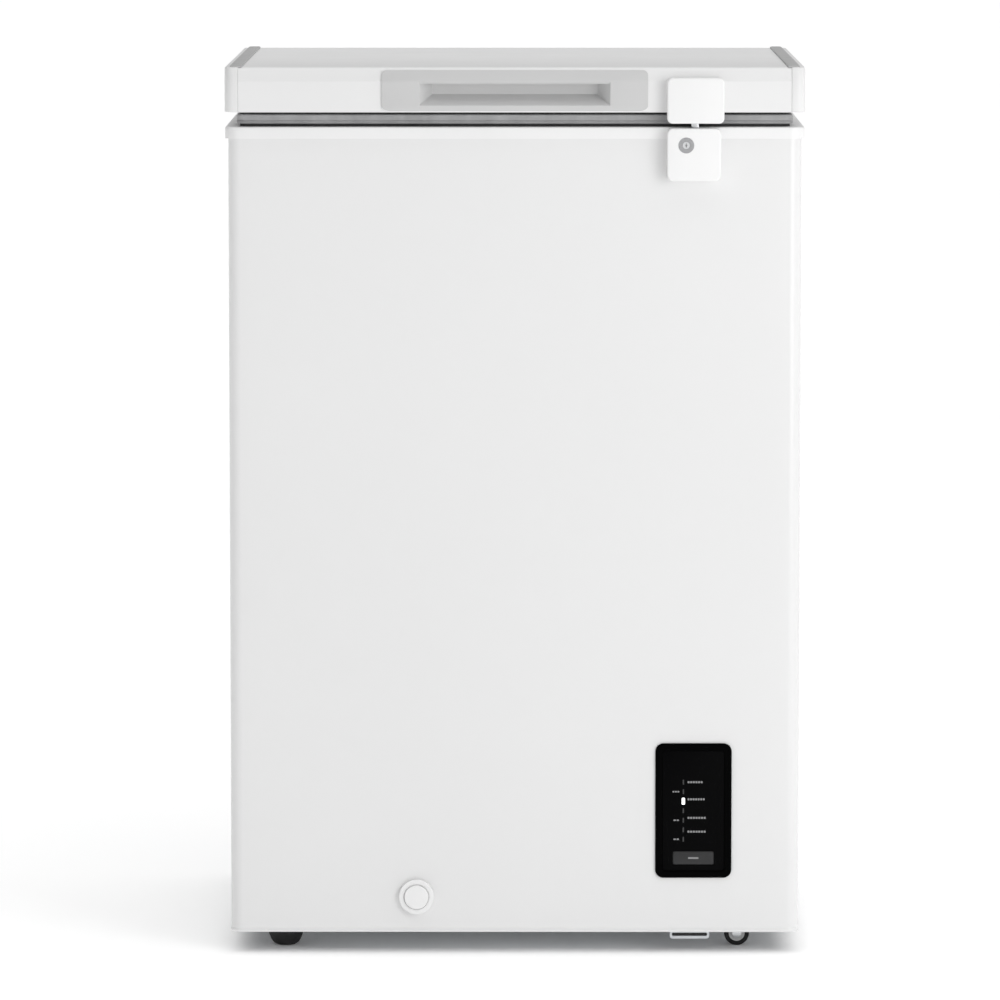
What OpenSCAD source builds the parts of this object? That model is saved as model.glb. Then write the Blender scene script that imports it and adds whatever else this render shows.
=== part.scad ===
// Compact chest freezer, about 99 litres, with a hinged lid, a key lock and a front control panel.
// +Z is up, the front faces -Y, and the origin is on the floor under the middle of the freezer.

/* [Overall] */
// Width of the lid and of the top collar
overall_w = 550; // [500:1:680]
// Depth of the lid and of the top collar
overall_d = 472; // [440:1:600]
// Height of the lid's trim strips above the floor
overall_h = 850; // [760:1:1020]

/* [Cabinet] */
// How far the collar stands proud of the cabinet
collar_proud = 3; // [2:0.5:5]
// Height of the cabinet's underside above the floor
base_gap = 20; // [20:1:30]
// Thickness of the painted steel sheet
sheet_t = 0.8; // [0.6:0.1:1.2]
// Radius of the cabinet's upright corners
corner_r = 12; // [8:1:18]
// Insulated wall, from the outside of the sheet to the outside of the liner
wall_t = 55; // [46:1:66]
// Insulated floor, from the cabinet's underside to the inside of the liner
floor_t = 60; // [54:1:75]
// Thickness of the liner
liner_t = 1.2; // [0.8:0.1:2]
// Radius of the liner's upright corners
liner_r = 18; // [12:1:26]

/* [Machine bay] */
// Inside width of the machine bay
bay_w = 150; // [146:1:180]
// Height of the machine bay above the cabinet's underside
bay_h = 214; // [206:1:256]
// Insulation between the machine bay and the liner
bay_foam = 45; // [35:1:60]
// Radius of the compressor's shell
compressor_r = 56; // [48:1:60]
// Height of the compressor's shell
compressor_h = 145; // [120:1:160]

/* [Collar] */
// Height of the collar's outer skirt
collar_h = 11; // [9:0.5:15]
// Thickness of the collar's top flange
collar_top_t = 4; // [3:0.5:6]
// Depth of the basket ledge below the collar's top
ledge_drop = 16; // [14:1:22]
// Width of the basket ledge
ledge_w = 6; // [5:0.5:8]

/* [Lid] */
// Height of the lid with its trim strips
lid_h = 44; // [40:0.5:56]
// Gap between the collar and the lid, which the gasket fills
seal_gap = 14; // [12:0.5:17]
// Thickness of the lid's skin
lid_skin_t = 1.2; // [0.8:0.1:1.6]
// Height of the bevel along the lid's front top edge
bevel_h = 13; // [10:0.5:14]
// Depth of that bevel
bevel_d = 5; // [3:0.5:8]
// Width of each moulded end cap
cap_w = 13; // [11:0.5:18]
// How far the trim strips stand above the lid
strip_proud = 1.5; // [1:0.1:3]
// Width of each trim strip
strip_w = 11.5; // [8:0.5:14]
// Radius of the lid's upright corners
lid_r = 9; // [6:0.5:11]
// Drop of the insulated plug under the lid
plug_drop = 22; // [16:1:28]
// Gap between that plug and the collar's opening
plug_gap = 18; // [14:1:28]
// Inset of the gasket from the lid's edge
seal_inset = 11; // [8:0.5:14]
// Width of the gasket
seal_w = 15; // [12:0.5:18]

/* [Handle] */
// Width of the grey handle insert
handle_w = 252; // [220:1:280]
// How far the insert's face stands in front of the lid
handle_proud = 1.5; // [1:0.1:2.5]
// Width of the finger pocket at its mouth
pocket_w = 181; // [150:1:200]
// Height of the finger pocket at its mouth
pocket_h = 22; // [18:0.5:23]
// Depth of the finger pocket
pocket_d = 18; // [14:0.5:24]
// How far each end of the pocket slopes in
pocket_end = 12; // [6:0.5:16]
// How far the pocket's floor slopes up
pocket_floor = 10; // [5:0.5:11]

/* [Lock] */
// Distance of the lock's and the control panel's middle from the cabinet's right side
lock_in = 101; // [94:0.5:106]
// Width of the lock's keeper
lock_w = 54; // [50:1:62]
// Width of the lock's case, whose left side is in line with the keeper's
case_w = 51; // [47:1:54]
// How far the lock stands out from the lid's front
lock_out = 14; // [13.5:0.5:17]
// Radius of the key barrel
barrel_r = 6; // [5:0.25:6.5]

/* [Control panel] */
// Width of the control panel
panel_w = 73; // [68:1:80]
// Height of the control panel
panel_h = 130; // [122:1:140]
// Height of the panel's lower edge above the cabinet's underside
panel_up = 53; // [48:1:60]
// Width of the mode button
button_w = 39; // [30:0.5:42]
// Height of the mode button
button_h = 12.6; // [10:0.2:14]
// Travel of the mode button
button_travel = 1.2; // [0.6:0.1:1.4]

/* [Drain] */
// Distance of the drain to the left of the middle
drain_x = 94; // [70:1:120]
// Radius of the outer drain cap
drain_cap_r = 16.7; // [14.5:0.1:19]
// Inner radius of the drain pipe
drain_bore_r = 7.6; // [6:0.1:8.4]

/* [Wheels and feet] */
// Radius of each wheel
wheel_r = 12; // [11:0.25:12.5]
// Width of each wheel
wheel_w = 12; // [9:0.5:15]
// Radius of each wheel's axle
axle_r = 2.5; // [2:0.1:3]
// Radius of each foot at its top
foot_r = 17; // [14:0.5:20]
// Radius of each foot's flat sole
sole_r = 9; // [6:0.5:11]

/* [Hinges] */
// How far the hinges stand out behind the lid
hinge_out = 14; // [13.5:0.5:17]
// Distance of each hinge from the middle
hinge_x = 170; // [140:1:190]
// Radius of the hinge pin
pin_r = 3; // [2.5:0.1:3.4]

/* [Basket] */
// Width of the hanging basket
basket_w = 190; // [150:1:220]
// Height of the hanging basket
basket_h = 190; // [140:1:230]
// Radius of the basket's rim wire
rim_r = 2.2; // [1.8:0.1:2.6]

/* [Hidden] */
$fn = 72;

far = 1000;              // longer than anything that is cut
eps = 0.5;               // how far a cut runs past a face
run_fit = 0.05;          // radial clearance of a part that turns
slide_fit = 0.3;         // clearance beside a part that slides

// Places that follow from the sizes above
cab_w = overall_w - 2 * collar_proud;
lock_x = cab_w / 2 - lock_in;
cab_d = overall_d - 2 * collar_proud;
front_y = -(overall_d + hinge_out - lock_out) / 2;
back_y = front_y + overall_d;
mid_y = (front_y + back_y) / 2;
cab_front = front_y + collar_proud;
cab_back = back_y - collar_proud;
lid_top = overall_h - strip_proud;
lid_z = overall_h - lid_h;
collar_z = lid_z - seal_gap;
skirt_z = collar_z - collar_h;
cab_top = collar_z - collar_top_t;
pan_z = base_gap + sheet_t;
foam_z = pan_z + sheet_t;
in_front = cab_front + sheet_t;
in_back = cab_back - 2 * sheet_t;
in_side = cab_w / 2 - sheet_t;

// Liner, with a raised step over the machine bay
liner_w = cab_w - 2 * wall_t;
liner_d = cab_d - 2 * wall_t;
floor_z = base_gap + floor_t;
bay_x = in_side - bay_w;
bay_z = base_gap + bay_h;
step_x = bay_x - sheet_t - bay_foam;
step_z = bay_z + sheet_t + bay_foam + liner_t;

// Collar opening and its basket ledge
lip_t = 1.5;
open_w = liner_w - 2 * liner_t - 2 * lip_t;
open_d = liner_d - 2 * liner_t - 2 * lip_t;
open_r = liner_r - liner_t - lip_t;
ledge_t = 3;
ledge_z = collar_z - ledge_drop;

// Lid
cap_x = overall_w / 2 - cap_w;
panel_t = 1.5;                       // inner panel of the lid
plug_w = open_w - 2 * plug_gap;
plug_d = open_d - 2 * plug_gap;
plug_r = 14;
plug_z = lid_z - plug_drop;
strip_x = overall_w / 2 - 5 - strip_w / 2;
seal_r = 8;

// Handle: the pocket is centred in the lid's front below the bevel
pocket_low = lid_z + 6.5;
pocket_wall = 1.6;
insert_low = lid_z + 1.5;
insert_high = lid_top - 2.5;         // the insert ends just under the fold of the lid's top

// Lock: the barrel sits left of the middle of the case, the tongue just right of the barrel
lock_wall = 2.5;
barrel_x = lock_x - 9;
barrel_z = collar_z - 16.5;
case_x = lock_x - (lock_w - case_w) / 2;
case_low = collar_z - 50.5;
case_high = collar_z - 0.5;
keeper_low = collar_z + 4;
keeper_high = keeper_low + 43;
barrel_flange_r = barrel_r + 1.5;
barrel_flange_t = 1;
cam_t = 2.5;
cam_r = 8.5;
cam_half = 2.5;
cam_y = front_y - 6;                 // front face of the cam and of the tongue
hook_near = 5;                       // from the barrel's axis to the tongue's near edge
hook_far = 12;
hook_throat = 8.8;

// Control panel
panel_out = 2.5;
panel_r = 8;
panel_frame = 7;
panel_z = base_gap + panel_up + panel_h / 2;
window_w = panel_w - 2 * panel_frame;
window_h = panel_h - 2 * panel_frame;
window_r = 3;
window_y = cab_front - panel_out + 0.8;
window_t = 2;
button_z = panel_z - panel_h / 2 + 19.3;
neck_w = panel_w - 6;                // the part of the bezel that passes through the sheet
neck_h = panel_h - 6;
neck_d = 10;
housing_d = 24;
board_y = cab_front + 7;
board_t = 1.6;
lamp_x = lock_x - 9.6;
lamp_w = 2.6;
lamp_h = 6;
lamp_pitch = 9.2;
switch_h = 2;

// Drain: a sump pipe in the floor and a level pipe to the front
drain_z = base_gap + 34.8;
sump_y = mid_y - liner_d / 2 + 28;
sump_r = drain_bore_r + 0.7;
pipe_t = 2;
cap_rim_t = 5;
stem_fit = 0.04;
stem_l = 16;

// Base plate, wheels and feet
plate_t = 1.5;
plate_z = base_gap + 6;
wheel_x = in_side - 57;
wheel_in = 42;                       // from the cabinet's front or back to the wheel's near face
wheel_front_y = cab_front + wheel_in;
wheel_rear_y = cab_back - wheel_in - wheel_w;
foot_x = -(cab_w / 2 - 51);
foot_front_y = cab_front + 50;
foot_rear_y = cab_back - 50;
foot_stem_r = 4;
socket_r = 9;
socket_h = 12;

// Compressor
comp_x = bay_x + bay_w / 2;
comp_y = cab_back - 120;
comp_z = plate_z + plate_t + 12;
mount_dx = compressor_r - 3;
mount_dy = compressor_r + 12;
bolt_r = 3;

// Hinges
barrel_out_r = 6.5;
axis_y = back_y + hinge_out - barrel_out_r;
axis_z = collar_z + 7;
leaf_w = 20;
base_w = 60;
knuckle_w = 7;
screw_r = 2;

// Basket
basket_wall = 3;
basket_end = ledge_w + 2;            // from the collar's opening to the basket at its limits
basket_x = -open_w / 2 + basket_end + basket_w / 2;
basket_top = ledge_z + 2 * rim_r;
basket_d = open_d - 2 * ledge_w - 6;

// Coils
coil_s = 6;                          // section of the flattened tube
evap_z = [for (i = [0:8]) step_z + 40 + i * (ledge_z - step_z - 90) / 8];
cond_z = [for (i = [0:6]) bay_z + 60 + i * (cab_top - bay_z - 120) / 6];

// Rectangle with four rounded corners, centred
module rounded(w, d, r) {
  square([w - 2 * r, d], center = true);
  square([w, d - 2 * r], center = true);
  for (sx = [-1, 1], sy = [-1, 1])
    translate([sx * (w / 2 - r), sy * (d / 2 - r)]) circle(r);
}

// Upright prism on a rounded rectangle, centred on the cabinet
module prism(w, d, r, z0, z1) {
  translate([0, mid_y, z0]) linear_extrude(z1 - z0) rounded(w, d, r);
}

// Box between two corners
module box(a, b) {
  translate(a) cube(b - a);
}

// Plate on a rounded rectangle that faces forwards: centre x, centre z, from y0 to y1
module facing(x, z, w, h, r, y0, y1) {
  translate([x, y1, z]) rotate([90, 0, 0]) linear_extrude(y1 - y0) rounded(w, h, r);
}

// Rod along Y from y0 to y1
module rod_y(x, z, r, y0, y1) {
  translate([x, y1, z]) rotate([90, 0, 0]) cylinder(r = r, h = y1 - y0);
}

// Rod along X from x0 to x1
module rod_x(y, z, r, x0, x1) {
  translate([x0, y, z]) rotate([0, 90, 0]) cylinder(r = r, h = x1 - x0);
}

// Outline in the Y-Z plane, drawn out along X
module along_x(x0, x1, points) {
  translate([x0, 0, 0]) rotate([90, 0, 90]) linear_extrude(x1 - x0) polygon(points);
}

// Outline in the X-Z plane, drawn out along Y
module along_y(y0, y1, points) {
  translate([0, y1, 0]) rotate([90, 0, 0]) linear_extrude(y1 - y0) polygon(points);
}

// Tube along straight runs parallel to the axes, with a brazed joint at each bend
module pipe(points, r, joint = 1.3) {
  for (i = [0:len(points) - 2]) {
    a = points[i];
    d = points[i + 1] - a;
    turn = d.x != 0 ? [0, d.x > 0 ? 90 : -90, 0] : d.y != 0 ? [d.y > 0 ? -90 : 90, 0, 0]
      : [d.z > 0 ? 0 : 180, 0, 0];
    translate(a) rotate(turn) cylinder(r = r, h = norm(d));
  }
  for (i = [1:len(points) - 2]) translate(points[i]) sphere(r * joint);
}

// Everything inside the cabinet's sheet, between two heights
module inside(z0, z1) {
  intersection() {
    prism(cab_w - 2 * sheet_t, cab_d - 2 * sheet_t, corner_r - sheet_t, z0, z1);
    box([-far, in_front, z0 - eps], [far, in_back, z1 + eps]);
  }
}

// The liner's body, drawn in from its outside by a margin
module tank(margin, z_top) {
  difference() {
    prism(liner_w - 2 * margin, liner_d - 2 * margin, liner_r - margin,
      floor_z - liner_t + margin, z_top);
    box([step_x - margin, -far, 0], [far, far, step_z - liner_t + margin]);
  }
}

// ---------- cabinet ----------

module outer_cabinet() color("whitesmoke") difference() {
  prism(cab_w, cab_d, corner_r, base_gap, cab_top);
  prism(cab_w - 2 * sheet_t, cab_d - 2 * sheet_t, corner_r - sheet_t, pan_z, cab_top + eps);
  // the bottom edge is folded in all round
  prism(cab_w - 24, cab_d - 24, corner_r - 6, base_gap - eps, cab_top);
  // open back between two upright flanges
  box([-cab_w / 2 + 30, in_back, base_gap - eps], [cab_w / 2 - 30, far, cab_top + eps]);
  facing(lock_x, panel_z, neck_w + 0.6, neck_h + 0.6, panel_r - 3, cab_front - eps,
    cab_front + 5);
  rod_y(-drain_x, drain_z, drain_bore_r + pipe_t + 0.1, cab_front - eps, cab_front + 5);
}

module back_panel() color("silver") difference() {
  box([-cab_w / 2 + corner_r, in_back, pan_z], [cab_w / 2 - corner_r, in_back + sheet_t, cab_top]);
  box([bay_x, in_back - eps, base_gap], [far, far, bay_z]);
}

// The pan is one bent sheet: floor, riser beside the machine bay, and the bay's ceiling
module bottom_pan() color("gainsboro") difference() {
  intersection() {
    inside(pan_z, bay_z + sheet_t);
    along_y(in_front, in_back, [[-far, pan_z], [bay_x, pan_z], [bay_x, bay_z], [far, bay_z],
      [far, bay_z + sheet_t], [bay_x - sheet_t, bay_z + sheet_t], [bay_x - sheet_t, foam_z],
      [-far, foam_z]]);
  }
  service_holes(0.3);
  for (y = [foot_front_y, foot_rear_y])
    translate([foot_x, y, 0]) cylinder(r = foot_stem_r + 0.5, h = foam_z + eps);
}

module drain_space(r_sump, r_pipe) {
  translate([-drain_x, sump_y, drain_z]) cylinder(r = r_sump, h = floor_z - liner_t - drain_z);
  rod_y(-drain_x, drain_z, r_pipe, in_front - eps, sump_y);
}

module cabinet_foam() color("khaki") difference() {
  inside(foam_z, cab_top);
  tank(0, cab_top + eps);
  box([bay_x - sheet_t, -far, 0], [far, far, bay_z + sheet_t]);
  for (z = evap_z) evaporator_loop(z);
  evaporator_risers();
  for (z = cond_z) condenser_loop(z);
  condenser_risers();
  drain_space(sump_r + pipe_t + 1.2, drain_bore_r + pipe_t);
  translate([-drain_x, sump_y, drain_z - sump_r - pipe_t])
    cylinder(r = sump_r + pipe_t + 1.2, h = sump_r + pipe_t);
  // hollow over each foot socket
  for (y = [foot_front_y, foot_rear_y])
    translate([foot_x, y, foam_z - eps]) cylinder(r = socket_r + 1, h = socket_h + eps);
  service_holes(0.3);
}

module inner_liner() color("white") difference() {
  tank(0, cab_top);
  tank(liner_t, cab_top + eps);
  translate([-drain_x, sump_y, floor_z - liner_t - eps]) cylinder(r = sump_r, h = 5);
}

module top_collar() color("white") difference() {
  union() {
    prism(overall_w, overall_d, corner_r + collar_proud, skirt_z, collar_z);
    tank(liner_t, collar_z - 1);
  }
  difference() {
    prism(cab_w, cab_d, corner_r, 0, cab_top);
    tank(liner_t, far);
  }
  prism(open_w - 2 * ledge_w, open_d - 2 * ledge_w, open_r - ledge_w, 0, far);
  prism(open_w, open_d, open_r, ledge_z, far);
  box([-far, -far, 0], [far, far, ledge_z - ledge_t]);
}

// ---------- refrigeration ----------

module evaporator_loop(z) difference() {
  prism(liner_w + 2 * coil_s, liner_d + 2 * coil_s, liner_r + coil_s, z, z + coil_s);
  prism(liner_w, liner_d, liner_r, z - eps, z + coil_s + eps);
}

// Short risers join one loop to the next, by turns left and right of the back's middle
module evaporator_risers() for (i = [0:len(evap_z) - 2]) {
  x = i % 2 == 0 ? 30 : -30;
  y = mid_y + liner_d / 2;
  box([x - coil_s / 2, y, evap_z[i] + 1], [x + coil_s / 2, y + coil_s, evap_z[i + 1] + 1]);
}

module evaporator_coil() color("lightsteelblue") {
  for (z = evap_z) evaporator_loop(z);
  evaporator_risers();
}

module condenser_loop(z) difference() {
  prism(cab_w - 2 * sheet_t, cab_d - 4 * sheet_t, corner_r - 2 * sheet_t, z, z + coil_s);
  prism(cab_w - 2 * sheet_t - 2 * coil_s, cab_d - 4 * sheet_t - 2 * coil_s,
    corner_r - 2 * sheet_t - coil_s / 2, z - eps, z + coil_s + eps);
}

module condenser_risers() for (i = [0:len(cond_z) - 2]) {
  x = i % 2 == 0 ? 60 : -60;
  box([x - coil_s / 2, in_back - coil_s, cond_z[i] + 1], [x + coil_s / 2, in_back, cond_z[i + 1] + 1]);
}

module condenser_coil() color("peru") {
  for (z = cond_z) condenser_loop(z);
  condenser_risers();
}

shell_z = comp_z + compressor_h / 2;

module compressor() color("black") difference() {
  union() {
    translate([comp_x, comp_y, comp_z]) rotate_extrude() {
      square([compressor_r - 14, compressor_h]);
      translate([0, 14]) square([compressor_r, compressor_h - 28]);
      for (z = [14, compressor_h - 14]) translate([compressor_r - 14, z]) circle(14);
    }
    // weld seam round the middle
    translate([comp_x, comp_y, shell_z - 2]) cylinder(r = compressor_r + 2.5, h = 4);
    // mounting foot
    box([comp_x - mount_dx - 9, comp_y - mount_dy - 9, comp_z + 2],
      [comp_x + mount_dx + 9, comp_y + mount_dy + 9, comp_z + 5]);
  }
  for (sx = [-1, 1], sy = [-1, 1])
    translate([comp_x + sx * mount_dx, comp_y + sy * mount_dy, comp_z - 5])
      cylinder(r = 6.5, h = 15);
}

module at_mounts() for (sx = [-1, 1], sy = [-1, 1])
  translate([comp_x + sx * mount_dx, comp_y + sy * mount_dy, plate_z + plate_t]) children();

module compressor_grommets() color("dimgray") at_mounts() difference() {
  union() {
    cylinder(r = 9, h = 14);
    cylinder(r = 6.5, h = 17);
    translate([0, 0, 17]) cylinder(r = 9, h = 4);
  }
  translate([0, 0, -eps]) cylinder(r = bolt_r + 0.3, h = 30);
}

module compressor_bolts() color("silver") at_mounts() {
  translate([0, 0, -plate_t - 4]) cylinder(r = bolt_r, h = 29.5);
  translate([0, 0, -plate_t - 3]) cylinder(r = 5.5, h = 3, $fn = 6);
  translate([0, 0, 21]) cylinder(r = 8, h = 1.2);
  translate([0, 0, 22.2]) cylinder(r = 5.5, h = 3, $fn = 6);
}

relay_y = comp_y - compressor_r;
module start_relay() color("darkslategray") difference() {
  box([comp_x - 24, relay_y - 26, shell_z - 38], [comp_x + 24, comp_y, shell_z - 4]);
  translate([comp_x, comp_y, 0]) cylinder(r = compressor_r, h = far);
}

// Small tubes: the suction line and capillary end at the evaporator, the others at the condenser
line_r = 2.8;
capillary_r = 1.2;
evap_line_y = mid_y + liner_d / 2 + coil_s / 2;
cond_line_x = in_side - coil_s / 2;
stub_z = comp_z + compressor_h - 30;
discharge_z = comp_z + 30;
drier_x = bay_x + 24;
drier_y = comp_y - compressor_r - 44;
drier_z = comp_z + 30;
drier_l = 80;
drier_r = 9;
sensor_x = bay_x + 60;
sensor_y = mid_y - 60;
sensor_r = 5;

// Holes for the tubes and the sensor from the bay up, widened by a margin
module service_holes(margin) {
  for (p = [[comp_x, evap_line_y, line_r, evap_z[0]],
      [drier_x, evap_line_y, capillary_r, evap_z[0]],
      [cond_line_x, comp_y, line_r, cond_z[0]], [cond_line_x, drier_y, line_r, cond_z[0]],
      [sensor_x, sensor_y, sensor_r, step_z]])
    translate([p.x, p.y, bay_z - eps]) cylinder(r = p.z + margin, h = p[3] - bay_z + eps);
}

module suction_line() color("peru") difference() {
  pipe([[comp_x, comp_y, stub_z], [comp_x, evap_line_y, stub_z],
    [comp_x, evap_line_y, evap_z[0]]], line_r);
  translate([comp_x, comp_y, 0]) cylinder(r = compressor_r, h = far);
}

module discharge_line() color("peru") difference() {
  pipe([[comp_x, comp_y, discharge_z], [cond_line_x, comp_y, discharge_z],
    [cond_line_x, comp_y, cond_z[0]]], line_r);
  translate([comp_x, comp_y, 0]) cylinder(r = compressor_r, h = far);
}

// Drier cartridge with its inlet from the condenser
module filter_drier() color("peru") {
  translate([drier_x, drier_y, drier_z]) rotate_extrude() polygon([[0, 0], [line_r, 0],
    [drier_r, 10], [drier_r, drier_l - 10], [line_r, drier_l], [0, drier_l]]);
  pipe([[drier_x, drier_y, drier_z + 2], [drier_x, drier_y, drier_z - 14],
    [cond_line_x, drier_y, drier_z - 14], [cond_line_x, drier_y, cond_z[0]]], line_r);
}

module capillary_tube() color("peru")
  pipe([[drier_x, drier_y, drier_z + drier_l], [drier_x, drier_y, bay_z - 12],
    [drier_x, evap_line_y, bay_z - 12], [drier_x, evap_line_y, evap_z[0]]], capillary_r, 1.6);

module temperature_sensor() color("silver") {
  translate([sensor_x, sensor_y, bay_z - 10])
    cylinder(r = sensor_r, h = step_z - liner_t - bay_z + 10);
  translate([sensor_x, sensor_y, bay_z - 2]) cylinder(r = sensor_r + 4, h = 2);
}

// ---------- base ----------

skid_x = lock_x - 3;
module base_plate() color("lightgray") difference() {
  union() {
    intersection() {
      inside(plate_z, plate_z + 14);
      along_y(in_front, in_back, [[bay_x, plate_z], [far, plate_z], [far, plate_z + plate_t],
        [bay_x + plate_t, plate_z + plate_t], [bay_x + plate_t, plate_z + 14],
        [bay_x, plate_z + 14]]);
    }
    // skid with a slot under the front edge
    facing(skid_x, plate_z - 7, 38, 15.5, 3, cab_front + 14, cab_front + 14 + plate_t);
    for (w = [[wheel_front_y + wheel_w, 1], [wheel_rear_y, -1]])
      wheel_cheek(w.x, w.y);
  }
  facing(skid_x, plate_z - 10.4, 34, 3, 1.4, cab_front + 10, cab_front + 20);
  translate([0, 0, -plate_t - plate_z]) at_mounts()
    cylinder(r = bolt_r + 0.1, h = 2 * plate_z + 20);
  for (y = [wheel_front_y, wheel_rear_y])
    rod_y(wheel_x, wheel_r, axle_r, y - 10, y + wheel_w + 10);
}

cheek_gap = 0.6;
cheek_t = 2.5;
module wheel_cheek(y, side) {
  y0 = side > 0 ? y + cheek_gap : y - cheek_gap - cheek_t;
  box([wheel_x - 8, y0, wheel_r], [wheel_x + 8, y0 + cheek_t, plate_z + 0.2]);
  rod_y(wheel_x, wheel_r, 8, y0, y0 + cheek_t);
}

module axle_studs() color("silver") {
  head = 1.4;
  for (w = [[wheel_front_y, 1], [wheel_rear_y + wheel_w, -1]]) {
    y0 = w.y > 0 ? w.x - cheek_gap : w.x + cheek_gap;
    length = wheel_w + 2 * cheek_gap + cheek_t;
    rod_y(wheel_x, wheel_r, axle_r, min(y0, y0 + w.y * length), max(y0, y0 + w.y * length));
    rod_y(wheel_x, wheel_r, axle_r + 2, min(y0, y0 - w.y * head), max(y0, y0 - w.y * head));
  }
}

module wheel_hub(y) color("lightgray") difference() {
  union() {
    rod_y(wheel_x, wheel_r, wheel_r * 0.64, y, y + wheel_w);
    rod_y(wheel_x, wheel_r, wheel_r * 0.75, y + 1.5, y + wheel_w - 1.5);
  }
  rod_y(wheel_x, wheel_r, axle_r + run_fit, y - eps, y + wheel_w + eps);
}

module wheel_tyre(y) color("black") difference() {
  rod_y(wheel_x, wheel_r, wheel_r, y, y + wheel_w);
  rod_y(wheel_x, wheel_r, wheel_r * 0.64, y - eps, y + wheel_w + eps);
  rod_y(wheel_x, wheel_r, wheel_r * 0.75, y + 1.5, y + wheel_w - 1.5);
}

module wheel_front_hub() wheel_hub(wheel_front_y);
module wheel_rear_hub() wheel_hub(wheel_rear_y);
module wheel_front_tyre() wheel_tyre(wheel_front_y);
module wheel_rear_tyre() wheel_tyre(wheel_rear_y);

module foot_sockets() color("silver") for (y = [foot_front_y, foot_rear_y])
  translate([foot_x, y, foam_z]) difference() {
    cylinder(r = socket_r, h = socket_h);
    translate([0, 0, -eps]) cylinder(r = foot_stem_r + run_fit, h = socket_h + 2 * eps);
  }

// Rubber levelling foot: a bowl on a flat sole, with a stem
module foot(y) color("black") translate([foot_x, y, 0]) rotate_extrude()
  polygon([[0, 0], [sole_r, 0], [foot_r - 2.5, 8], [foot_r, base_gap - 4],
    [foot_r, pan_z - 0.4], [foot_stem_r, pan_z - 0.4], [foot_stem_r, foam_z + socket_h - 1],
    [0, foam_z + socket_h - 1]]);

module foot_front() foot(foot_front_y);
module foot_rear() foot(foot_rear_y);

// ---------- rear of the machine bay ----------

grille_t = 1.5;
grille_low = base_gap + 3;
grille_high = bay_z + 12;
grille_left = bay_x - 12;
grille_right = cab_w / 2 - corner_r;
gland_x = grille_left + 30;
gland_z = grille_low + 24;
gland_bore_r = 3.8;
gland_body_r = 7;

module rear_grille() color("gray") difference() {
  box([grille_left, cab_back, grille_low], [grille_right, cab_back + grille_t, grille_high]);
  for (side = [0, 1], i = [0:8]) {
    x0 = grille_left + 16 + side * (grille_right - grille_left - 20) / 2;
    z = grille_low + 48 + i * (grille_high - grille_low - 70) / 8;
    box([x0, cab_back - eps, z], [x0 + (grille_right - grille_left) / 2 - 22, far, z + 6]);
  }
  rod_y(gland_x, gland_z, gland_body_r + 0.05, cab_back - eps, cab_back + 5);
  at_grille_screws() rod_y(0, 0, screw_r, -eps, grille_t + eps);
}

module at_grille_screws()
  for (p = [[grille_left + 6, grille_high - 7], [grille_right - 7, grille_high - 7],
      [grille_left + 6, grille_low + 8], [grille_right - 7, grille_low + 8]])
    translate([p.x, cab_back, p.y]) children();

module grille_screws() color("silver") at_grille_screws() {
  rod_y(0, 0, screw_r, 0, grille_t);
  rod_y(0, 0, 2 * screw_r, grille_t, grille_t + 1.6);
}

module cord_gland() color("black") difference() {
  union() {
    rod_y(gland_x, gland_z, gland_body_r, cab_back - 6, cab_back + 4);
    rod_y(gland_x, gland_z, gland_body_r + 2.5, cab_back + grille_t, cab_back + 6);
    rod_y(gland_x, gland_z, gland_body_r + 1.5, cab_back - 8, cab_back - 2);
  }
  rod_y(gland_x, gland_z, gland_bore_r, cab_back - 10, cab_back + 10);
}

// ---------- control panel ----------

module panel_bezel() color("black") difference() {
  union() {
    facing(lock_x, panel_z, panel_w, panel_h, panel_r, cab_front - panel_out, cab_front);
    facing(lock_x, panel_z, neck_w, neck_h, panel_r - 3, cab_front, cab_front + neck_d);
  }
  facing(lock_x, panel_z, window_w, window_h, window_r, cab_front - 9, window_y + window_t);
  facing(lock_x, panel_z, window_w - 4, window_h - 4, window_r, cab_front - 9, cab_front + 2);
  facing(lock_x, panel_z, neck_w - 4, neck_h - 4, window_r, cab_front + 2, cab_front + 20);
}

module panel_window() color("black") difference() {
  facing(lock_x, panel_z, window_w, window_h, window_r, window_y, window_y + window_t);
  facing(lock_x, button_z, button_w + 2 * slide_fit, button_h + 2 * slide_fit, 2 + slide_fit,
    window_y - eps, window_y + window_t + eps);
  lamp_bars(0, window_y - eps, window_y + window_t + eps);
}

module lamp_bars(margin, y0, y1) for (i = [-3:3])
  box([lamp_x - lamp_w / 2 - margin, y0, panel_z + i * lamp_pitch - lamp_h / 2 - margin],
    [lamp_x + lamp_w / 2 + margin, y1, panel_z + i * lamp_pitch + lamp_h / 2 + margin]);

module panel_lamps() color("white") lamp_bars(0, window_y, board_y);

module panel_board() color("darkgreen") {
  facing(lock_x, panel_z, neck_w - 5, neck_h - 5, 1, board_y, board_y + board_t);
  box([lock_x - 3, board_y - switch_h, button_z - 3], [lock_x + 3, board_y, button_z + 3]);
  box([lock_x - 22, board_y + board_t, panel_z + 10], [lock_x + 4, board_y + 12, panel_z + 34]);
}

module panel_housing() color("dimgray") difference() {
  facing(lock_x, panel_z, neck_w, neck_h, panel_r - 3, cab_front + neck_d,
    cab_front + neck_d + housing_d);
  facing(lock_x, panel_z, neck_w - 4, neck_h - 4, window_r, cab_front,
    cab_front + neck_d + housing_d - 2);
}

module mode_button() color("dimgray") {
  facing(lock_x, button_z, button_w, button_h, 2, window_y - 0.5, window_y + window_t + 0.4);
  facing(lock_x, button_z, button_w + 4, button_h + 4, 2, window_y + window_t + 0.4,
    window_y + window_t + 1.4);
  rod_y(lock_x, button_z, 2, window_y + window_t + 1.4,
    board_y - switch_h - button_travel - 0.1);
}

// ---------- drain ----------

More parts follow.
